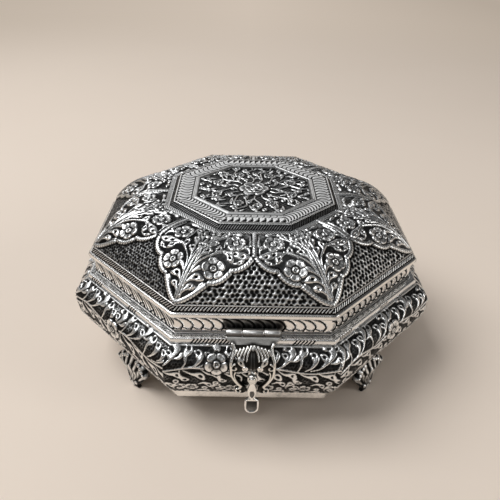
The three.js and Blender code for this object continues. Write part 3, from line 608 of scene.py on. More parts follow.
chased = silver_chased("chased_silver")
wall_low, wall_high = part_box("base_wall")
wall_foot, wall_head = wall_low.z / MM, wall_high.z / MM
wall_tall = wall_head - wall_foot
ornament = 1.45
bulge_reach, foot_reach, head_reach = wall_high.x / MM - ornament - lip_plan[0], 1.0, 1.5
bulge_low, bulge_top = 20.3, 26.7
bulge_power = 1.7
wall_thickness = 1.8


def wall_reach(height):
    below = clamped((bulge_low - height) / bulge_low)
    above = clamped((height - bulge_top) / (wall_tall - bulge_top))
    drop = (bulge_reach - foot_reach) * below ** bulge_power
    return bulge_reach - drop - (bulge_reach - head_reach) * above ** bulge_power


def even_rows(reach_of, low, high, spacing):
    """Heights spaced evenly along a profile instead of straight up."""
    fine = np.linspace(low, high, 600)
    reach = reach_of(fine)
    run = run_along(np.diff(fine), np.diff(reach))
    count = int(math.ceil(run[-1] / spacing))
    return np.interp(np.linspace(0, run[-1], count + 1), run, fine)


wall_grid = 0.44
wall_rows = even_rows(wall_reach, 0, wall_tall, wall_grid)
wall = Ring(grown(lip_plan, wall_reach(wall_rows)), wall_foot + wall_rows, wall_grid)
wall_climb = wall.canvases[0].y[-1, 0]


def sprig(canvas, x, y, angle, length, width, curl, hole=0.32, height=1.0):
    """A leaf that starts at (x, y), sets off at an angle and curls to one side."""
    turn = math.radians(angle)
    path = []
    for share in (0.0, 0.35, 0.7, 1.0):
        off = curl * length * share ** 2
        path.append((x + length * share * math.cos(turn) - off * math.sin(turn),
                     y + length * share * math.sin(turn) + off * math.cos(turn)))
    canvas.leaf(path, width, height, [(0.72, 0.0, hole)] if hole else [])


# Each leaf of the vine: its path from the stem, its width, its eye's place and size, its slimness.
vine_leaves = [
    ([(1.6, 0.2), (3.4, 4.2), (3.6, 9.0), (5.4, 13.2), (4.6, 15.4)], 4.7, 0.84, 0.46, 3.2),
    ([(5.6, 0.6), (9.4, 3.6), (11.2, 7.2), (10.8, 10.8), (9.2, 12.0)], 4.2, 0.84, 0.46, 2.6),
    ([(8.6, 0.8), (13.4, 2.6), (17.8, 6.6), (20.6, 11.6), (19.0, 15.6), (16.0, 15.2)],
     4.3, 0.88, 0.46, 4.0),
    ([(14.0, 3.0), (16.4, 5.6), (16.2, 9.0), (14.6, 10.6)], 3.6, 0.82, 0.44, 2.2),
    ([(18.4, 7.0), (21.6, 7.8), (23.2, 10.6)], 2.6, 0.80, 0.0, 1.6),
    ([(2.4, -0.8), (6.2, -2.6), (10.4, -3.4), (12.6, -5.4)], 4.3, 0.80, 0.46, 2.4),
    ([(12.0, -0.4), (15.2, -2.4), (19.2, -2.8), (21.2, -4.6)], 3.9, 0.80, 0.44, 2.4),
    ([(0.6, -1.0), (0.4, -4.0), (2.4, -6.4), (4.4, -6.6)], 3.4, 0.80, 0.44, 2.0),
    ([(9.8, -9.8), (12.6, -8.4), (15.2, -9.4), (16.2, -11.4)], 3.4, 0.80, 0.44, 1.8),
    ([(17.2, -15.2), (17.0, -12.2), (19.0, -9.6), (20.8, -9.6)], 3.2, 0.80, 0.44, 1.8),
    ([(-1.0, -17.4), (1.6, -15.4), (2.6, -12.4), (1.2, -10.6)], 3.2, 0.80, 0.44, 1.8),
    ([(8.2, -19.6), (10.8, -17.4), (13.6, -17.2), (15.2, -18.6)], 2.9, 0.80, 0.40, 1.8),
]
vine_blooms = [
    (6.4, -12.4, 3.9), (13.2, -13.6, 1.9), (-1.6, -7.6, 1.9), (20.6, -14.0, 1.9), (3.0, -19.2, 1.8),
]
vine_pitch, vine_length, vine_swing = 20.8, 41.0, 1.5
vine_up, vine_down = 15.8, 21.0


def vine_height(x):
    return 0.67 * wall_climb + vine_swing * math.sin(2 * math.pi * x / vine_length)


def chase_wall(canvas, flowers, plain, chance):
    half = canvas.reach
    high = canvas.y / wall_climb
    canvas.lift += 0.10 * np.sin(canvas.x * 1.9) * np.sin(canvas.y * 1.7)
    canvas.ridge([(x, vine_height(x)) for x in np.linspace(-half, half, 40)], width=1.2, height=0.9)
    rise = 0.31 * wall_climb / vine_up
    drop = 0.62 * wall_climb / vine_down
    place = -half - 14
    while place < half:
        base = vine_height(place)
        size = chance.uniform(0.94, 1.06)
        for path, width, hole_at, hole, slim in vine_leaves:
            nudge = chance.uniform(-0.8, 0.8, 2)
            path = [(place + size * x + nudge[0] * min(1.0, abs(y) / 5),
                     base + y * size * (rise if y > 0 else drop) + nudge[1] * min(1.0, abs(y) / 5))
                    for x, y in path]
            holes = [(hole_at, 0.0, hole)] if hole else []
            canvas.leaf(path, width * chance.uniform(0.92, 1.08), 1.0, holes, root=0.7, slim=slim)
        for x, y, radius in vine_blooms:
            x, y = place + size * x, base + y * drop
            if radius > 3:
                canvas.flower(x, y, radius, spin=chance.uniform(0, 1), height=0.95)
            else:
                canvas.loop(x, y, radius, 0.9)
        place += vine_pitch * size
    for x, share in flowers:
        canvas.level(x, share * wall_climb, 6.9)
        canvas.flower(x, share * wall_climb, 6.6, spin=0.3, height=1.3)
    for place in steps(-half, half, 2.6):
        canvas.bead(place, 0.04 * wall_climb, 1.1, 0.6)
    canvas.ridge(canvas.across(0.5), width=1.2, height=0.5)
    canvas.ridge(canvas.across(wall_climb - 0.5), width=1.5, height=0.7)
    canvas.pits(canvas.lift < 0.2, spacing=1.7, radius=0.62, net=0.2)
    # Near the top the ground is made lighter and the leaf tops darker, most on the two left sides:
    # partly a plainer polish there, partly painted light, with painted shade on the leaf tops that
    # damps the glints of the lamp at the left.
    upper = plain * clamped((high - 0.72) / 0.12)
    canvas.gloss += np.where(canvas.lift > 0.4, -0.4 * upper, upper) - 0.04 * (high < 0.5)
    canvas.rub(ground=0.25, reach=0.95, wide=4, deep=0.24 if plain > 0.1 else 0.09)


# Where the large flower of a side sits: how far along the side, and what share of the way up it.
wall_flowers = {0: [(-18.8, 0.75)], 1: [(5.0, 0.66)], 7: [(-3.0, 0.62)]}
first_draw = 31
for side, canvas in enumerate(wall.canvases):
    flowers = wall_flowers.get(side, [(0.0, 0.66)])
    # The two left sides get the most painted light and shade near the top.
    chase_wall(canvas, flowers, plain=0.40 if side in (6, 7) else 0.06,
               chance=np.random.default_rng(first_draw + side))
wall_inside = [(grown(lip_plan, wall_reach(h) - wall_thickness), wall_foot + h)
               for h in np.linspace(wall_tall, 0, 7)]
wall.built("base_wall_sheet", wall_inside, chased, "base", "silver", "base_wall")


# The base rim is a bright bead of half-round wire soldered round the mouth, with short groups of
# slanted strokes cut across it.
rim_low, rim_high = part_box("base_rim")
rim_reach = rim_high.x / MM - lip_plan[0]
rim_angles = np.radians(np.linspace(-90, 90, 15))
rim_round = (rim_high.z - rim_low.z) / 2 / MM
wire_round = 1.5
rim_plans = grown(lip_plan, rim_reach - wire_round + wire_round * np.cos(rim_angles) ** 0.7)
rim_rows = rim_low.z / MM + rim_round * (1 + np.sin(rim_angles))
shelf = np.linspace(rim_reach - 1.8, -2.4, 8)
rim_plans = np.vstack([rim_plans, grown(lip_plan, shelf)])
rim_rows = np.concatenate([rim_rows, np.full(len(shelf), rim_rows[-1])])
rim = Ring(rim_plans, rim_rows, spacing=0.4)
lid_inner = -4.3
left_sides = (5, 6, 7)
for side, canvas in enumerate(rim.canvases):
    half = canvas.reach
    canvas.gloss += 0.88
    groups = [(-32.0, -7.0), (22.0, 33.0)] if side == 0 else [(-half + 4, -half + 14), (2.0, 9.0)]
    for start, stop in groups:
        for place in steps(start, min(stop, half - 3), 1.9):
            canvas.cut([(place - 1.1, 1.0), (place + 1.1, 4.6)], width=0.75, depth=0.5)
    top = canvas.y.max()
    canvas.cut(canvas.across(top - 0.3), width=0.5, depth=0.3)
    if side in left_sides:
        for place in steps(-half, half, 1.5):
            canvas.cut([(place - 0.6, top - 2.6), (place + 0.5, top - 0.6)], width=0.55, depth=0.3)
    canvas.rub(ground=0.1, reach=0.3)
rim.built("base_rim_bead", plain_back(lid_inner, rim_low, rim_high), chased, "base",
          "bright_silver", "base_rim")


# The liner is a plain folded steel tub dropped into the box. Two strips halved into each other make
# four compartments in it. All of it is brushed.
def steel_brushed(name, direction):
    finish = Finish(name)
    lines = finish.cloud(1.0, 4.0, finish.stretched(direction))
    smear = finish.cloud(30.0, 3.0)
    stops = [(0.3, (0.50, 0.49, 0.47)), (0.7, (0.70, 0.69, 0.67))]
    colour = finish.ramp(stops, lines * 0.5 + smear * 0.5)
    roughness = 0.24 + lines * 0.12 + smear * 0.1
    normal = finish.bump(lines, 0.3, 0.00005)
    return finish.set(Base_Color=colour, Metallic=1.0, Roughness=roughness, Normal=normal)


liner_steel = steel_brushed("liner_steel", (60.0, 60.0, 3000.0))
for node in ("base_liner", "divider_long", "divider_cross"):
    refinish(node, liner_steel)


# The feet are four cast shells with radiating ribs and a ball at the toe. They are soldered to the
# band at the middle of each slanted side.
class Plate(Chasing):
    """A flat cutting with a smooth outline, whose front carries relief."""

    def __init__(self, loops, spacing):
        """Squares a grid inside the loops, and moves its outermost points onto them."""
        corners = np.vstack(loops)
        low, high = corners.min(axis=0) - 2 * spacing, corners.max(axis=0) + 2 * spacing
        across = np.arange(low[0], high[0], spacing)
        upward = np.arange(low[1], high[1], spacing)
        x, z = np.meshgrid(across, upward)
        distance = self.away(loops, x, z)
        rise, run = np.gradient(distance, spacing)
        centre = (distance[:-1, :-1] + distance[1:, :-1] + distance[:-1, 1:] + distance[1:, 1:]) / 4
        self.kept = centre < 0
        used = np.zeros(x.shape, int)
        for down in (0, 1):
            for side in (0, 1):
                used[down:down + self.kept.shape[0], side:side + self.kept.shape[1]] += self.kept
        rim = (used > 0) & (used < 4)
        x = np.where(rim, x - distance * run, x)
        z = np.where(rim, z - distance * rise, z)
        super().__init__(x, z, np.full(len(x), high[0]))
        self.depth = np.where(rim, 0.0, np.maximum(-distance, 0.0))

    def away(self, loops, x, z):
        best = np.full(x.shape, np.inf)
        inside = np.zeros(x.shape, bool)
        for loop in loops:
            for (x0, z0), (x1, z1) in zip(loop, np.roll(loop, -1, axis=0)):
                dx, dz = x1 - x0, z1 - z0
                square = dx * dx + dz * dz
                if square == 0:
                    continue
                along = np.clip(((x - x0) * dx + (z - z0) * dz) / square, 0, 1)
                best = np.minimum(best, np.hypot(x - x0 - along * dx, z - z0 - along * dz))
                crosses = (z0 > z) != (z1 > z)
                inside ^= crosses & (x < x0 + (z - z0) * dx / (dz if dz else 1e-12))
        return np.where(inside, -best, best)

    def built(self, name, front, back, place, material, body, slot, *nodes, rounding=0.5):
        thinnest = 0.15
        soft = clamped(1 - self.depth / rounding)
        fall = rounding * (1 - np.sqrt(clamped(1 - soft ** 2)))
        inner = back + 0 * self.x
        outer = np.maximum(front + self.lift - fall, inner + thinnest)
        points = np.vstack([
            np.stack([self.x.ravel(), outer.ravel(), self.y.ravel()], axis=1),
            np.stack([self.x.ravel(), inner.ravel(), self.y.ravel()], axis=1),
        ])
        rows, columns = self.x.shape
        index = np.arange(rows * columns).reshape(rows, columns)
        cell = np.stack([index[:-1, :-1], index[:-1, 1:], index[1:, 1:], index[1:, :-1]], axis=-1)
        count = rows * columns
        faces = [cell[self.kept], cell[self.kept][:, ::-1] + count]
        padded = np.pad(self.kept, 1)
        for first, second, down, side in ((0, 1, -1, 0), (1, 2, 0, 1), (2, 3, 1, 0), (3, 0, 0, -1)):
            beyond = padded[1 + down:1 + down + rows - 1, 1 + side:1 + side + columns - 1]
            edge = cell[self.kept & ~beyond]
            a, b = edge[:, first], edge[:, second]
            faces.append(np.stack([b, a, a + count, b + count], axis=1))
        quads = np.vstack(faces)
        used, packed = np.unique(quads, return_inverse=True)
        shine = np.concatenate([self.shine.ravel(), np.full(count, 0.35)])
        mesh = mesh_of(name, place(points[used]) * MM, packed.reshape(quads.shape),
                       np.ones(len(quads), bool), shine[used])
        volume = bmesh.new()
        volume.from_mesh(mesh)
        bmesh.ops.recalc_face_normals(volume, faces=volume.faces)
        volume.to_mesh(mesh)
        volume.free()
        return piece(mesh, material, body, slot, *nodes)


foot_top, foot_widest = 24.2, 16.6
foot_right = [
    (0.0, foot_top), (3.6, 23.9), (7.4, 22.9), (10.6, 21.2), (13.2, 19.0), (14.9, foot_widest),
    (13.6, 14.6), (11.4, 12.4), (9.3, 9.6), (7.4, 7.0), (5.7, 4.6), (4.6, 2.4), (4.4, 0.0),
]
foot_left = [(-x, z) for x, z in foot_right[:0:-1]]
foot = Plate([curved(foot_right + foot_left, 6, closed=True)], spacing=0.4)
foot.y = np.maximum(foot.y, 0)
rib_count, rib_root = 26, 1.0
angle = np.arctan2(foot.x, foot.y - rib_root)
far = np.hypot(foot.x, foot.y - rib_root)
ribs = 0.5 + 0.5 * np.cos(angle * rib_count)
foot.lift += 0.9 * ribs ** 0.7 * clamped((far - 5.5) / 5.0)
foot.gloss += 0.12
for side in (-1, 1):
    sprig(foot, side * 1.2, 5.5, 90 - side * 24, length=9.5, width=3.6, curl=0.1 * side, hole=0,
          height=1.3)
    foot.bead(side * 2.9, 4.2, 1.5, 1.1)
    for step in range(7):
        turn = math.radians(20 + 11 * step)
        x, z = 14.0 * math.sin(turn * 0.93), 3.5 + 18.6 * math.cos(turn * 0.72)
        foot.bead(side * x, z, 1.25, 1.3)
sprig(foot, 0, 5.0, 90, length=13.0, width=4.6, curl=0.0, hole=0, height=1.5)
foot.bead(0, 2.6, 2.4, 1.2)
foot.rub(ground=0.05, reach=1.2)
belly = np.interp(foot.y, [0, 2.6, 9.8, 17, foot_top], [4.6, 4.7, 3.9, 5.7, 2.0])
foot_front = belly - 1.6 * (np.abs(foot.x) / 15.0) ** 2
foot_back = np.maximum(foot_front - 2.2, np.where(foot.y > foot_widest, 0.3, -1.5))


def foot_place(side_x, side_y):
    plan = grown(lip_plan, band_reach)
    middle = np.array([side_x * (plan[0] + plan[2]) / 2, side_y * (plan[1] + plan[3]) / 2])
    slope = math.atan2(plan[1] - plan[3], plan[0] - plan[2])
    outward = np.array([side_x * math.sin(slope), side_y * math.cos(slope)])
    along = np.array([-outward[1], outward[0]])

    def place(points):
        flat = middle + points[:, :1] * along + points[:, 1:2] * outward
        return np.stack([flat[:, 0], flat[:, 1] + centre_y / MM, points[:, 2]], axis=1)

    return place


for end, side_y in (("front", -1), ("rear", 1)):
    for hand, side_x in (("left", -1), ("right", 1)):
        foot.built(f"foot_{end}_{hand}_shell", foot_front, foot_back, foot_place(side_x, side_y),
                   chased, "base", "silver", f"foot_{end}_{hand}", rounding=0.6)


# The lid's skirt is an upright strip under the lip. It is engraved with overlapping scales, and at
# the left with long feather strokes.
skirt_low, skirt_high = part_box("lid_skirt")
skirt_inset, skirt_thickness = 2.5, 1.8
skirt_tall = (skirt_high.z - skirt_low.z) / MM
skirt_rows = np.linspace(0, skirt_tall, 30)
skirt_plans = grown(lip_plan, np.full(len(skirt_rows), -skirt_inset))
skirt = Ring(skirt_plans, skirt_low.z / MM + skirt_rows, spacing=0.4)


def engrave_scales(canvas, pitch, bold):
    half = canvas.reach
    for place in steps(-half + 2.0, half - 1, pitch):
        canvas.stroke([(place - 4.6, 10.2), (place - 1.8, 9.4), (place + 1.0, 7.4),
                       (place + 2.3, 4.8), (place + 1.2, 2.4)], bold, 0.85)
        canvas.stroke([(place - 2.6, 3.4), (place - 0.8, 2.5), (place + 1.2, 2.4)], 0.7 * bold, 0.6)
    canvas.cut(canvas.across(1.6), width=0.5, depth=0.3)


def engrave_feathers(canvas, pitch):
    half = canvas.reach
    for number, place in enumerate(steps(-half - 8, half, pitch)):
        heavy = number % 3 == 0
        canvas.stroke([(place, 10.2), (place + 3.6, 7.8), (place + 6.8, 5.4), (place + 8.8, 2.4)],
                      1.6 if heavy else 0.85, 1.1 if heavy else 0.7)
        if heavy:
            canvas.stroke([(place + 5.0, 1.8), (place + 7.0, 3.2), (place + 8.8, 2.4)], 0.8, 0.6)
    canvas.cut(canvas.across(1.4), width=0.5, depth=0.3)


for side, canvas in enumerate(skirt.canvases):
    canvas.gloss += 0.85
    if side in left_sides:
        engrave_feathers(canvas, pitch=3.3)
    else:
        engrave_scales(canvas, pitch=5.4, bold=0.75 if side == 0 else 1.3)
    canvas.cut(canvas.across(0.9), width=0.5, depth=0.3)
    # Painted shadow: the front skirt is darkened behind the hasp, where the hasp and its barrel
    # shade it.
    if side == 0:
        canvas.gloss -= clamped((17.5 - np.abs(canvas.x)) / 2.0) * clamped((canvas.y - 1.5) / 1.5)
    canvas.rub(ground=0.1, reach=0.5)
skirt_back = plain_back(-skirt_inset - skirt_thickness, skirt_low, skirt_high)
engraved = silver_chased("engraved_silver", bright=(0.90, 0.89, 0.87))
skirt.built("lid_skirt_strip", skirt_back, engraved, "lid", "silver", "lid_skirt")


# The lid's lip is a rounded polished edge that overhangs the skirt. Above it a narrow sloping
# border is hatched all round below a fine raised line.
lip_tall = (lip_high.z - lip_low.z) / MM
lip_reach = np.array([-2.4, -1.2, -0.5, -0.12, 0, 0, -0.15, -0.55, -1.4])
lip_rows = np.array([
    0, 0, 0.15, 0.55, 1.1, lip_tall - 1.1, lip_tall - 0.5, lip_tall - 0.12, lip_tall,
])
lip = Ring(grown(lip_plan, lip_reach), lip_low.z / MM + lip_rows, spacing=3.0)
lip.built("lid_lip_bead", plain_back(lid_inner, lip_low, lip_high), bright_strip, "lid",
          "bright_silver", "lid_lip")

ledge_low, ledge_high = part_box("lid_ledge")
medallion_low, medallion_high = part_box("lid_medallion")
crown = ledge_low.z / MM
medallion_plan = np.array([
    medallion_high.x / MM, (medallion_high.y - medallion_low.y) / 2 / MM, 14.4, 13.5,
])
dome_foot_plan = grown(lip_plan, -1.4)
crown_plan = grown(medallion_plan, 19.1)
dome_foot = lip_high.z / MM
dome_bend = 2.48
border_share = 0.06


def dome_rise(share):
    return (crown - dome_foot) * (1 - (1 - share) ** dome_bend)


def dome_plan(share):
    return dome_foot_plan * (1 - share) + crown_plan * share


def dome_ring(first, last, spacing):
    fine = np.linspace(first, last, 500)
    run = fine * (dome_foot_plan[1] - crown_plan[1])
    climb = run_along(np.diff(dome_rise(fine)), np.diff(run))
    count = int(math.ceil(climb[-1] / spacing)) + 1
    shares = np.interp(np.linspace(0, climb[-1], count), climb, fine)
    return Ring(dome_plan(shares[:, None]), dome_foot + dome_rise(shares), spacing), shares


border, _ = dome_ring(0, border_share, spacing=0.34)
for canvas in border.canvases:
    top = canvas.y.max()
    hatch = wave(canvas.x - canvas.y * 0.9, 1.9) ** 1.6
    hatched = (canvas.y > 0.7) & (canvas.y < top - 1.2)
    canvas.lift += np.where(hatched, 0.45 * hatch, 0.0)
    canvas.gloss += np.where(hatched, 0.40 * hatch - 0.16, 0.0)
    canvas.ridge(canvas.across(top - 0.55), width=0.9, height=0.55)
    canvas.rub(ground=0.10, reach=0.70)
border.built("lid_border_band", [
    (grown(border.plans[-1], -3.0), border.heights[-1]),
    (grown(dome_foot_plan, -3.0), border.heights[0]),
], chased, "lid", "dark_silver", "lid_border")


# The dome is one beaten sheet of eight panels. A petal with a roped edge lies over each corner,
# filled with flowers and curling leaves, and the ground between the petals is pitted all over.
dome_thickness, dome_inset = 1.8, -3.0

# Places on a half petal are given as (share of the way from the panel's corner to its middle, share
# of the slope). Then come a leaf's width and eyes, a stem's width and height, or a flower's size.
petal_arcs = [
    [(0.0, 0.012), (0.10, 0.035), (0.20, 0.080), (0.31, 0.149), (0.38, 0.186)],
    [(0.38, 0.186), (0.46, 0.190), (0.55, 0.222), (0.62, 0.278), (0.66, 0.324)],
    [(0.66, 0.324), (0.74, 0.330), (0.85, 0.375), (0.94, 0.450), (1.0, 0.540)],
]
petal_leaves = [
    ([(0.02, 0.15), (0.08, 0.22), (0.17, 0.25), (0.26, 0.225)], 4.2, [(0.72, 0.0, 0.34)]),
    ([(0.02, 0.07), (0.07, 0.125), (0.13, 0.155), (0.18, 0.150)], 3.3, [(0.72, 0.0, 0.3)]),
    ([(0.03, 0.25), (0.09, 0.31), (0.16, 0.355), (0.24, 0.37)], 2.6, []),
    ([(0.30, 0.53), (0.46, 0.575), (0.64, 0.555), (0.80, 0.515), (0.90, 0.500)], 4.6,
     [(0.55, 0.1, 0.27), (0.78, 0.1, 0.25)]),
    ([(0.46, 0.565), (0.54, 0.53), (0.60, 0.48), (0.63, 0.445)], 3.8, [(0.66, 0.0, 0.3)]),
    ([(0.26, 0.50), (0.32, 0.56), (0.36, 0.62), (0.35, 0.665)], 3.6, [(0.70, 0.0, 0.34)]),
    ([(0.05, 0.44), (0.10, 0.53), (0.16, 0.595), (0.22, 0.60)], 3.8, [(0.74, 0.0, 0.36)]),
    ([(0.10, 0.56), (0.14, 0.66), (0.20, 0.735), (0.27, 0.745)], 3.4, [(0.74, 0.0, 0.32)]),
    ([(0.02, 0.50), (0.00, 0.60), (0.03, 0.69), (0.08, 0.70)], 3.2, [(0.70, 0.0, 0.30)]),
    ([(0.20, 0.74), (0.27, 0.82), (0.34, 0.88), (0.42, 0.885)], 3.2, [(0.72, 0.0, 0.3)]),
    ([(0.06, 0.70), (0.10, 0.78), (0.16, 0.84), (0.22, 0.85)], 3.0, [(0.72, 0.0, 0.3)]),
    ([(0.90, 0.52), (0.91, 0.60), (0.86, 0.66), (0.80, 0.66)], 2.4, []),
    ([(0.40, 0.93), (0.50, 0.955), (0.62, 0.96), (0.72, 0.945)], 2.4, []),
    ([(0.14, 0.12), (0.22, 0.135), (0.27, 0.165), (0.30, 0.19)], 1.8, []),
    ([(0.60, 0.43), (0.68, 0.41), (0.76, 0.415), (0.82, 0.445)], 2.6, [(0.72, 0.0, 0.3)]),
    ([(0.90, 0.92), (0.90, 0.84), (0.93, 0.76), (0.92, 0.68)], 2.2, []),
    ([(0.30, 0.22), (0.40, 0.215), (0.48, 0.235), (0.54, 0.265)], 1.9, []),
    ([(0.24, 0.92), (0.32, 0.955), (0.36, 0.97), (0.44, 0.97)], 2.6, [(0.70, 0.0, 0.3)]),
    ([(0.44, 0.66), (0.42, 0.74), (0.44, 0.80), (0.50, 0.85)], 2.6, [(0.72, 0.0, 0.3)]),
]
petal_stems = [
    ([(0.0, 0.03), (0.0, 0.3), (0.0, 0.6), (0.0, 0.90)], 1.7, 1.1),
    ([(0.035, 0.05), (0.035, 0.20), (0.05, 0.36), (0.045, 0.56), (0.02, 0.80)], 1.3, 0.95),
    ([(0.05, 0.30), (0.10, 0.42), (0.20, 0.50), (0.34, 0.56), (0.48, 0.60)], 1.5, 1.0),
    ([(0.05, 0.40), (0.10, 0.54), (0.16, 0.66), (0.22, 0.80)], 1.3, 0.95),
]
petal_flowers = [(0.38, 0.345, 6.6), (0.63, 0.735, 5.9)]


def chase_panel(canvas, shares, pitted, painted_shade):
    rows = (shares - border_share) / (1 - border_share)
    climb = canvas.y[:, 0]

    def at(side, part, row):
        half = np.interp(row, rows, canvas.half)
        return side * (1 - part) * half, np.interp(row, rows, climb)

    part = 1 - np.abs(canvas.x) / canvas.half[:, None]
    edge = [point for arc in petal_arcs for point in curved(arc, 6)]
    reach = np.interp(rows, [v for _, v in edge], [a for a, _ in edge])[:, None]
    inside = (part < reach) & (rows[:, None] > 0.012)
    ripple = 0.05 * np.sin(canvas.x * 1.7) * np.sin(canvas.y * 1.9)
    canvas.lift += np.where(inside, 0.34, 0.0) + ripple
    canvas.pits(~inside, pitted, radius=0.375 * pitted, net=0.66)
    small = min(1.0, canvas.reach / 40)
    for side in (-1, 1):
        for stem, width, tall in petal_stems:
            path = [at(side, *point) for point in curved(stem, 6)]
            canvas.ridge(path, 0.72 * width, tall + 0.35, taper=0.75, moat=0.12)
        for path, width, holes in petal_leaves:
            holes = [(along, aside * side, size) for along, aside, size in holes]
            path = [at(side, *point) for point in path]
            canvas.leaf(path, 1.12 * width, 1.35, holes, root=0.6, slim=2.8)
        for part_at, row, radius in petal_flowers:
            x, y = at(side, part_at, row)
            canvas.flower(x, y, radius * small, spin=0.35 * side, height=1.45)
        x, y = at(side, 0.0, 0.955)
        canvas.flower(x, y, 5.0, spin=0.0, height=1.3)
        for arc in petal_arcs:
            path = [at(side, *point) for point in curved(arc, 6)]
            canvas.ridge(path, width=2.9, height=1.4, twist=0.13, pitch=1.7, moat=0.35, flat=0.3)
    between = [at(1, 1.0, 0.53), at(1, 1.0, 1.0)]
    canvas.ridge(between, width=2.8, height=1.35, twist=0.10, pitch=1.7, moat=0.3, flat=0.3)
    # The left panels are painted darker all over, painted shade that tones down the light of the
    # lamp at the left.
    canvas.gloss += np.where(inside, 0.17, -0.08) - painted_shade
    canvas.rub(ground=0.22, reach=1.2, wide=4, deep=0.12)


dome, dome_shares = dome_ring(border_share, 1.0, spacing=0.43)
for side, canvas in enumerate(dome.canvases):
    left = side in left_sides
    # Finer pits and painted shade on the left panels.
    chase_panel(canvas, dome_shares, pitted=2.0 if left else 2.75, painted_shade=0.20 if left else 0.0)
dome_inside = [(crown_plan * 0.0, crown), (crown_plan * 0.0, crown - dome_thickness)]
for share in (1.0, 0.75, 0.5, 0.3, 0.15, border_share):
    under = dome_thickness if share > 0.2 else 0.0
    dome_inside.append((grown(dome_plan(share), dome_inset), dome_foot + dome_rise(share) - under))
dome.built("lid_dome_sheet", dome_inside, chased, "lid", "silver", "lid_dome")


# The raised top is bordered with a hatched wire, a steep fluted edge and a bright flat frame. A
# fine double line holds the dark floral plate, with a six-petalled rosette at its middle.
def top_ring(profile, spacing):
    profile = np.asarray(profile, float)
    climb = run_along(*np.diff(profile, axis=0).T)
    count = int(math.ceil(climb[-1] / spacing)) + 1
    places = np.linspace(0, climb[-1], count)
    reach, height = (np.interp(places, climb, part) for part in profile.T)
    return Ring(grown(medallion_plan, reach), height, spacing)


ledge_reach = ledge_high.x / MM - medallion_plan[0]
bevel_reach, bevel_foot, flat_reach, inner_reach = 16.2, 1.2, 13.5, 2.4
ledge_top = ledge_high.z / MM
ledge_round = 0.6
bend = [math.radians(angle) for angle in range(0, 91, 15)]
ledge = top_ring([(ledge_reach, crown)]
                 + [(ledge_reach - ledge_round + ledge_round * math.cos(turn),
                     ledge_top - ledge_round + ledge_round * math.sin(turn)) for turn in bend]
                 + [(bevel_reach, ledge_top)], spacing=0.3)
for canvas in ledge.canvases:
    canvas.lift -= 0.16 * wave(canvas.x + canvas.y * 0.8, 1.5) * (canvas.y < canvas.y.max() - 0.5)
    canvas.gloss += 0.85
    canvas.rub(ground=0.1, reach=0.3)
ledge.built("lid_ledge_wire", [(grown(medallion_plan, bevel_reach), crown)], chased, "lid",
            "bright_silver", "lid_ledge")

frame_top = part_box("lid_top_frame")[1].z / MM
top_frame = top_ring([
    (bevel_reach, crown), (bevel_reach, crown + bevel_foot), (flat_reach, frame_top),
    (inner_reach, frame_top),
], spacing=0.32)
edge = bevel_foot + math.hypot(bevel_reach - flat_reach, frame_top - crown - bevel_foot)
for side, canvas in enumerate(top_frame.canvases):
    inner = canvas.y.max()
    steep = (canvas.y > 0.8) & (canvas.y < edge - 0.4)
    canvas.lift -= np.where(steep, 0.3 * wave(canvas.x - 0.7 * canvas.y, 1.5), 0.0)
    canvas.gloss += np.where(canvas.y > edge - 0.5, 0.60, 0.10)
    half = canvas.reach
    for place in (edge + 0.9, inner - 1.0):
        canvas.cut(canvas.across(place), width=0.45, depth=0.3)
    if side in (0, 4):
        groove = (canvas.y > edge + 1.9) & (canvas.y < edge + 6.4)
        canvas.lift -= np.where(groove, 0.30, 0.0)
        for place in steps(-half - 2, half, 3.7):
            sprig(canvas, place, edge + 2.0, 62, length=4.8, width=3.3, curl=0.2, hole=0,
                  height=0.04)
            canvas.stroke([(place + 1.4, edge + 7.2), (place + 2.4, edge + 8.4),
                           (place + 2.2, inner - 1.8)], 0.4, 0.2)
    else:
        for place in steps(-half - 2, half, 2.4 if side in (1, 7) else 3.6):
            canvas.stroke([(place, edge + 2.6), (place + 1.6, edge + 4.8),
                           (place + 2.0, inner - 3.6), (place + 0.8, inner - 1.6)], 0.55, 0.35)
            canvas.drill(place + 0.8, edge + 1.5, 0.5, 0.35)
    canvas.rub(ground=0.02, reach=0.4)
top_frame.built("lid_top_frame_plate", [
    (grown(medallion_plan, inner_reach), crown), (grown(medallion_plan, bevel_reach), crown),
], chased, "lid", "bright_silver", "lid_top_frame")

inner_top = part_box("lid_inner_border")[1].z / MM
inner_border = top_ring([
    (2.4, crown), (2.4, frame_top - 0.1), (2.0, inner_top), (1.5, inner_top),
    (1.2, frame_top - 0.25), (0.9, inner_top), (0.4, inner_top), (0.0, frame_top - 0.3),
    (0.0, crown),
], spacing=0.22)
line_shine = [0.5, 0.5, 0.6, 0.8, 0.8, 0.35, 0.7, 0.7, 0.3]
for canvas in inner_border.canvases:
    heights = np.linspace(0, canvas.y.max(), len(line_shine))
    canvas.shine[:] = np.interp(canvas.y[:, 0], heights, line_shine)[:, None]
inner_border.built("lid_inner_border_wire", [(grown(medallion_plan, 0.1), crown)], chased, "lid",
                   "bright_silver", "lid_inner_border")

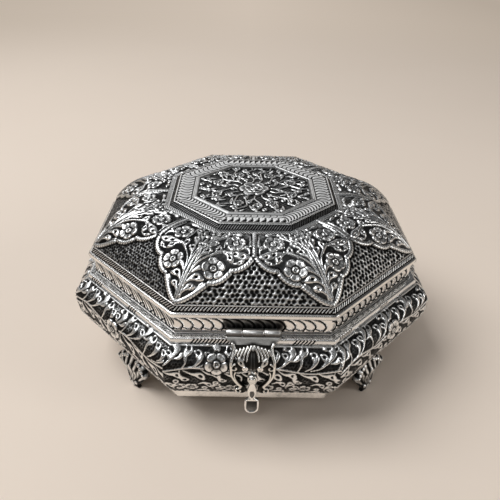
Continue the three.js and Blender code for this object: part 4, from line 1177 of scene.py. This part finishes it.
plate_top = medallion_high.z / MM
plate_shares = np.linspace(1, 0, 105)
plate_heights = np.full(len(plate_shares), plate_top)
floral_plate = Ring(medallion_plan * plate_shares[:, None], plate_heights, spacing=0.4)
leaf_circles = ((13.5, 16), (18.5, 20), (23.5, 26), (28.5, 30), (33.5, 36), (38.0, 40))
for side, canvas in enumerate(floral_plate.canvases):
    spots = np.stack([floral_plate.between(corners, side) for corners in floral_plate.corners])
    canvas.x, canvas.y = spots[..., 0], spots[..., 1] - centre_y / MM
    canvas.lift += 0.08 * np.sin(canvas.x * 2.3) * np.sin(canvas.y * 2.1)
    for arm in range(16):
        turn = math.radians(22.5 * arm + 6)
        bent = [(far, turn + 0.10 * math.sin(far * 0.35)) for far in (9, 14, 19, 24, 29, 34)]
        stem = [(far * math.cos(way), far * math.sin(way)) for far, way in bent]
        canvas.ridge(curved(stem, 4), width=1.0, height=0.75)
    for ring, (far, count) in enumerate(leaf_circles):
        for number in range(count):
            turn = 360 * (number + 0.5 * (ring % 2)) / count
            x, y = far * math.cos(math.radians(turn)), far * math.sin(math.radians(turn))
            curl = 0.35 if (number + ring) % 2 else -0.35
            if number % 3 == 2:
                canvas.loop(x, y, 1.7, 0.85)
            else:
                sprig(canvas, x, y, turn + 70 * curl, length=5.6, width=3.0, curl=curl, hole=0.38,
                      height=0.9)
    for arm in range(8):
        turn = math.radians(45 * arm + 22.5)
        x, y = 25 * math.cos(turn), 21.5 * math.sin(turn)
        canvas.level(x, y, 3.6)
        canvas.flower(x, y, 3.5, height=0.95)
    canvas.level(0, 0, 10.4)
    canvas.flower(0, 0, 10.0, petals=6, height=0.95)
    canvas.rub(ground=0.26, reach=0.9, wide=2, deep=0.2)
floral_plate.built("lid_medallion_plate", [
    (medallion_plan * 0.0, crown), (medallion_plan, crown),
], chased, "lid", "dark_silver", "lid_medallion")


rosette_low, rosette_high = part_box("lid_rosette")
rosette_reach = rosette_high.x / MM
rosette_tall = (rosette_high.z - rosette_low.z) / MM
spokes, circles = 144, 40
angles = np.linspace(0, 2 * np.pi, spokes, endpoint=False)
lobe = np.abs(np.cos(3 * angles))
part = np.linspace(0, 1, circles)[:, None]
outline = rosette_reach * (0.82 + 0.18 * lobe ** 0.6)[None, :]
lobe_rim = bell(part, 0.84, 0.12) + 0.9 * bell(lobe, 0, 0.25) * (part > 0.3)
boss = np.sqrt(clamped(1 - (part / 0.2) ** 2))
whole = np.maximum(np.maximum(clamped(lobe_rim) * 0.9, boss), 0.7 * bell(part, 0.3, 0.06))
petal_tall = rosette_tall * (0.15 + 0.85 * whole * clamped((1 - part) / 0.05))
far = part * outline
upper = np.stack([far * np.cos(angles), far * np.sin(angles), petal_tall], axis=-1)
foot = np.stack([outline[0] * np.cos(angles), outline[0] * np.sin(angles), 0 * angles], axis=1)
quads = quads_round(circles + 2, spokes)[:, [0, 3, 2, 1]]
points = np.vstack([upper.reshape(-1, 3), foot, foot * 0]) + np.array([0, centre_y / MM, plate_top])
rubbed = clamped(petal_tall / rosette_tall * 1.1 - 0.1).ravel()
shine = np.concatenate([rubbed, np.full(2 * spokes, 0.4)])
flower = mesh_of("lid_rosette_flower", points * MM, quads, np.ones(len(quads), bool), shine)
piece(flower, chased, "lid", "silver", "lid_rosette")


# The hinges at the back are plain bent leaves with rolled knuckles on steel pins, each leaf on the
# lid held by two rivets.
hinge_silver = silver_polish("hinge_silver", tone=(0.64, 0.635, 0.62), smooth=0.30)
for hand in ("left", "right"):
    for part in ("base_leaf", "lid_leaf"):
        refinish(f"hinge_{hand}_{part}", hinge_silver)
    for part in ("pin", "rivet_left", "rivet_right"):
        refinish(f"hinge_{hand}_{part}", bright_strip)


# The hasp is a cast plate that hangs from a polished barrel of three knuckles, the outer two on the
# lid and the middle one on the plate. Below two ring bosses the plate opens into crescent arms.
def turned(name, profile, place, material, body, slot, *nodes, spokes=48):
    """A turned piece from (distance along the axis, radius) pairs, closed at both ends."""
    profile = np.asarray(profile, float)
    angles = np.linspace(0, 2 * np.pi, spokes, endpoint=False)
    points = np.stack([
        np.repeat(profile[:, 0], spokes),
        (profile[:, 1:] * np.cos(angles)).ravel(),
        (profile[:, 1:] * np.sin(angles)).ravel(),
    ], axis=1)
    quads = quads_round(len(profile), spokes)
    mesh = mesh_of(name, place(points) * MM, quads, np.ones(len(quads), bool))
    return piece(mesh, material, body, slot, *nodes)


def knuckle(start, end, bore):
    radius, soft = barrel_radius, 0.35
    return [
        (start, bore), (start, radius - soft), (start + soft * 0.3, radius - soft * 0.3),
        (start + soft, radius), (end - soft, radius), (end - soft * 0.3, radius - soft * 0.3),
        (end, radius - soft), (end, bore), (start, bore),
    ]


hasp_pin_low, hasp_pin_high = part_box("hasp_pin")
barrel_half = hasp_pin_high.x / MM
barrel_axis = np.array([
    0, (hasp_pin_low.y + hasp_pin_high.y) / 2 / MM, (hasp_pin_low.z + hasp_pin_high.z) / 2 / MM,
])
barrel_radius, barrel_bore, middle_half, barrel_gap = 2.5, 1.1, 5.5, 0.3


def on_barrel(points):
    return points + barrel_axis


def barrel_metal():
    """A white painted highlight along the top of the barrel, and painted shade below it that is
    darkest underneath.
    """
    finish = Finish("barrel_painted_light")
    height = finish.node("ShaderNodeSeparateXYZ", {}, {"Vector": finish.place()}, output="Z")
    share = (height - (barrel_axis[2] - barrel_radius) * MM) * (0.5 / (barrel_radius * MM))
    cloud = finish.cloud(900.0, 2.0)
    # Painted light: a white painted highlight across the top of the barrel, painted shade below it.
    stops = [(0.42, (0.04, 0.04, 0.04)), (0.70, (0.16, 0.16, 0.16)), (0.77, (0.97, 0.97, 0.96))]
    colour = finish.ramp(stops, share + (cloud - 0.5) * 0.1)
    return finish.set(Base_Color=colour, Metallic=1.0, Roughness=0.26 + cloud * 0.08)


barrel_shine = silver_polish("barrel_shine", tone=(0.90, 0.89, 0.87), smooth=0.16, scratch=0.15)
barrel_painted_light = barrel_metal()
outer_start = middle_half + barrel_gap
for hand, start, end in (("left", -barrel_half, -outer_start), ("right", outer_start, barrel_half)):
    turned(f"hasp_knuckle_{hand}", knuckle(start, end, barrel_bore), on_barrel, barrel_painted_light,
           "lid", "bright_silver", "hasp_lid_leaf")
turned("hasp_knuckle_middle", knuckle(-middle_half, middle_half, barrel_bore + barrel_gap),
       on_barrel, barrel_painted_light, "hasp", "bright_silver", "hasp_plate")
refinish("hasp_pin", bright_strip)

hasp_half = [
    (0.0, 66.4), (13.6, 66.4), (14.0, 65.6), (13.2, 64.6), (11.6, 63.6), (10.7, 62.0), (11.2, 60.0),
    (12.1, 57.4), (12.3, 55.0), (12.2, 52.6), (12.1, 50.0), (11.7, 48.0), (10.9, 46.0), (9.8, 44.0),
    (8.3, 41.8), (7.0, 40.2), (7.2, 39.2), (8.6, 39.0), (9.2, 37.9), (8.9, 36.4), (7.6, 35.4),
    (5.8, 35.2), (4.2, 35.5), (3.3, 36.4), (3.0, 38.0), (3.7, 39.8), (5.4, 41.8), (7.1, 44.0),
    (8.2, 46.2), (8.7, 48.4), (8.0, 50.2), (5.6, 50.9), (3.4, 50.8), (2.4, 51.3), (0.0, 51.6),
]
hasp_hole = [(8.3, 59.0), (9.6, 59.1), (9.8, 57.5), (8.8, 56.7), (8.0, 57.5)]
hasp_hole = curved(hasp_hole, 6, closed=True)
hasp_arm = curved([(8.9, 50.6), (9.5, 48.6), (9.0, 45.8), (7.6, 43.0), (5.6, 40.4)], 4)


def scroll(canvas, x, y, radius, start, sweep, width, height):
    """A curl that winds inwards from a start angle."""
    path = []
    for share in np.linspace(0, 1, 16):
        turn = math.radians(start + sweep * share)
        far = radius * (1 - 0.72 * share)
        path.append((x + far * math.cos(turn), y + far * math.sin(turn)))
    canvas.ridge(path, width, height)


right_half = curved(hasp_half, 5)
mirror = np.array([-1, 1])
hasp_outline = np.vstack([right_half, right_half[::-1] * mirror])
hasp_cutting = Plate([hasp_outline, hasp_hole, hasp_hole * mirror], spacing=0.26)
for side in (-1, 1):
    hasp_cutting.ridge(curved(hasp_half[4:18], 4) * [0.92 * side, 1], width=1.5, height=0.6)
    hasp_cutting.ridge(hasp_arm * [side, 1], width=0.9, height=0.45)
    sprig(hasp_cutting, side * 3.0, 53.4, 90 - side * 52, length=6.4, width=3.0,
          curl=0.2 * side, hole=0.34, height=0.6)
    for step in range(5):
        feather = [(side * (0.8 + 1.9 * step), 62.9 - 0.4 * step),
                   (side * (2.6 + 1.9 * step), 60.2 - 0.4 * step),
                   (side * (3.2 + 1.7 * step), 57.4 + 0.3 * step)]
        hasp_cutting.ridge(curved(feather, 5), width=1.25, height=0.7, taper=0.6)
    for x, y, radius, height in ((9.3, 53.6, 2.3, 0.6), (7.0, 37.3, 2.1, 0.7)):
        scroll(hasp_cutting, side * x, y, radius, start=90, sweep=-300 * side,
               width=0.95, height=height)
    hasp_cutting.bead(side * 10.6, 58.6, radius=0.8, height=0.45)
flange_foot = 63.4
hasp_cutting.gloss += np.where(hasp_cutting.y > flange_foot, 0.5, 0.0)
hasp_cutting.bead(0, 62.2, radius=1.3, height=0.6)
hasp_cutting.ridge([(0, 52.4), (0, 60.6)], width=4.4, height=0.5, taper=0.5)
hasp_cutting.cut([(0, 53.0), (0, 60.8)], width=0.5, depth=0.3)
hasp_cutting.cut([(-3.6, 52.0), (3.6, 52.0)], width=0.6, depth=0.4)
heart = np.hypot(hasp_cutting.x / 3.4, (hasp_cutting.y - 56.0) / 5.2)
hasp_cutting.gloss -= 0.5 * clamped(1.4 - heart)
hasp_cutting.gloss += 0.16
hasp_cutting.rub(ground=0.04, reach=0.6)


def before_box(points):
    lip_front = centre_y / MM - lip_plan[1]
    return np.stack([points[:, 0], lip_front - points[:, 1], points[:, 2]], axis=1)


# How far before the lip the hasp's front and back stand, from its arms up to its flange.
hasp_front = np.interp(
    hasp_cutting.y, [35, 54.8, 57, 62.6, 64.8, 66.6], [12.4, 12.4, 11.4, 6.2, 4.3, 2.8])
hasp_back = np.interp(
    hasp_cutting.y, [35, 54.6, 56.6, 61.4, 63.6, 66.6], [10.9, 10.9, 9.8, 4.8, 2.9, 1.4])
hasp_silver = silver_chased("hasp_silver", bright=(0.88, 0.87, 0.84), dark=(0.02, 0.019, 0.017))
hasp_cutting.built("hasp_plate_cast", hasp_front, hasp_back, before_box, hasp_silver, "hasp",
                   "silver", "hasp_plate", rounding=0.45)


def facing_front(low, high):
    """Turns a turned piece's axis to the front, and sets its root on the back of a node's box."""
    middle = (low + high) / 2
    return lambda points: np.stack([
        points[:, 1] + middle.x / MM, high.y / MM - points[:, 0], points[:, 2] + middle.z / MM,
    ], axis=1)


for hand in ("left", "right"):
    boss_low, boss_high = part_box(f"hasp_boss_{hand}")
    radius = (boss_high.x - boss_low.x) / 2 / MM
    tall = (boss_high.y - boss_low.y) / MM
    profile = [
        (0, 0), (0, radius), (tall * 0.5, radius), (tall * 0.85, radius * 0.85),
        (tall, radius * 0.66), (tall * 0.9, radius * 0.5), (tall * 0.45, radius * 0.3),
        (tall * 0.4, 0),
    ]
    turned(f"hasp_boss_{hand}_ring", profile, facing_front(boss_low, boss_high), barrel_shine,
           "hasp", "bright_silver", f"hasp_boss_{hand}", spokes=32)


# The turning peg hangs on a headed post riveted through the wall. It is a faceted bar that ends in
# a small dished finger tab, and it turns across the hasp to lock it.
post_low, post_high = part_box("staple_post")
post_long = (post_high.y - post_low.y) / MM
post_profile = [
    (0, 0), (0, 2.3), (0.35, 2.3), (0.5, 2.1), (0.6, 1.4), (post_long - 0.95, 1.4),
    (post_long - 0.8, 1.9), (post_long - 0.7, 2.0), (post_long - 0.35, 1.7),
    (post_long - 0.1, 1.1), (post_long, 0.5), (post_long, 0),
]
turned("staple_post_pin", post_profile, facing_front(post_low, post_high), barrel_shine, "base",
       "bright_silver", "staple_post", spokes=40)

peg_axis_z = ((post_low + post_high) / 2).z / MM
peg_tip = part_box("turn_peg")[0].z / MM
peg_bar = [
    (0.0, 2.7), (1.5, 2.25), (2.5, 1.0), (2.6, -0.6), (1.9, -2.2), (1.35, -3.6), (1.9, -6.0),
    (2.5, -9.0), (2.3, -12.0), (1.7, -13.8), (2.6, -14.8), (3.8, -16.2),
]
peg_tab = [(3.8, 3.6), (3.1, 1.4), (1.5, 0.2), (0.0, 0.0)]
peg_right = [(x, peg_axis_z + z) for x, z in peg_bar] + [(x, peg_tip + z) for x, z in peg_tab]
peg_half = curved(peg_right, 5)
eye_round = 1.7
turns = np.linspace(0, 2 * np.pi, 40, endpoint=False)
peg_eye = np.stack([eye_round * np.cos(turns), peg_axis_z + eye_round * np.sin(turns)], axis=1)
peg_cutting = Plate([np.vstack([peg_half, peg_half[::-1] * mirror]), peg_eye], spacing=0.2)
tab_middle, tab_top = peg_tip + 3.6, peg_axis_z - 15.6
tab_half, tab_fall = 2.9, 2.7
dish = np.where(peg_cutting.y > tab_middle, np.abs(peg_cutting.x) / tab_half,
                np.hypot(peg_cutting.x / tab_half, (peg_cutting.y - tab_middle) / tab_fall))
dish = np.maximum(dish, 1 + (peg_cutting.y - tab_top))
peg_cutting.lift -= 0.95 * clamped(1.25 - dish ** 4)
bar = (peg_cutting.y < peg_axis_z - 3.0) & (peg_cutting.y > peg_axis_z - 14.2)
peg_cutting.lift -= np.where(bar, 0.42 * np.abs(peg_cutting.x), 0.0)
# The peg's colours are painted: a painted dark reflection on one facet of the bar, painted shade in
# the dish that deepens towards its top, and a darker ring just inside the tab's rim.
painted_dark_facet = np.hypot(peg_cutting.x / 1.3, (peg_cutting.y - peg_axis_z + 10.6) / 2.6)
dull = (0.62 + 0.05 * (peg_cutting.y - tab_middle)) * (dish < 0.9)
tab_edge = (dish > 0.9) & (dish < 1.0)
peg_cutting.shine = np.clip(1.0 - dull - 0.6 * (painted_dark_facet < 1) - 0.5 * tab_edge, 0.05, 1)
peg_front, peg_back = 15.05, 13.15
peg_silver = silver_chased("peg_silver", bright=(0.97, 0.965, 0.95))
peg_cutting.built("turn_peg_cast", peg_front, peg_back, before_box, peg_silver, "peg",
                  "bright_silver", "turn_peg", rounding=0.4)
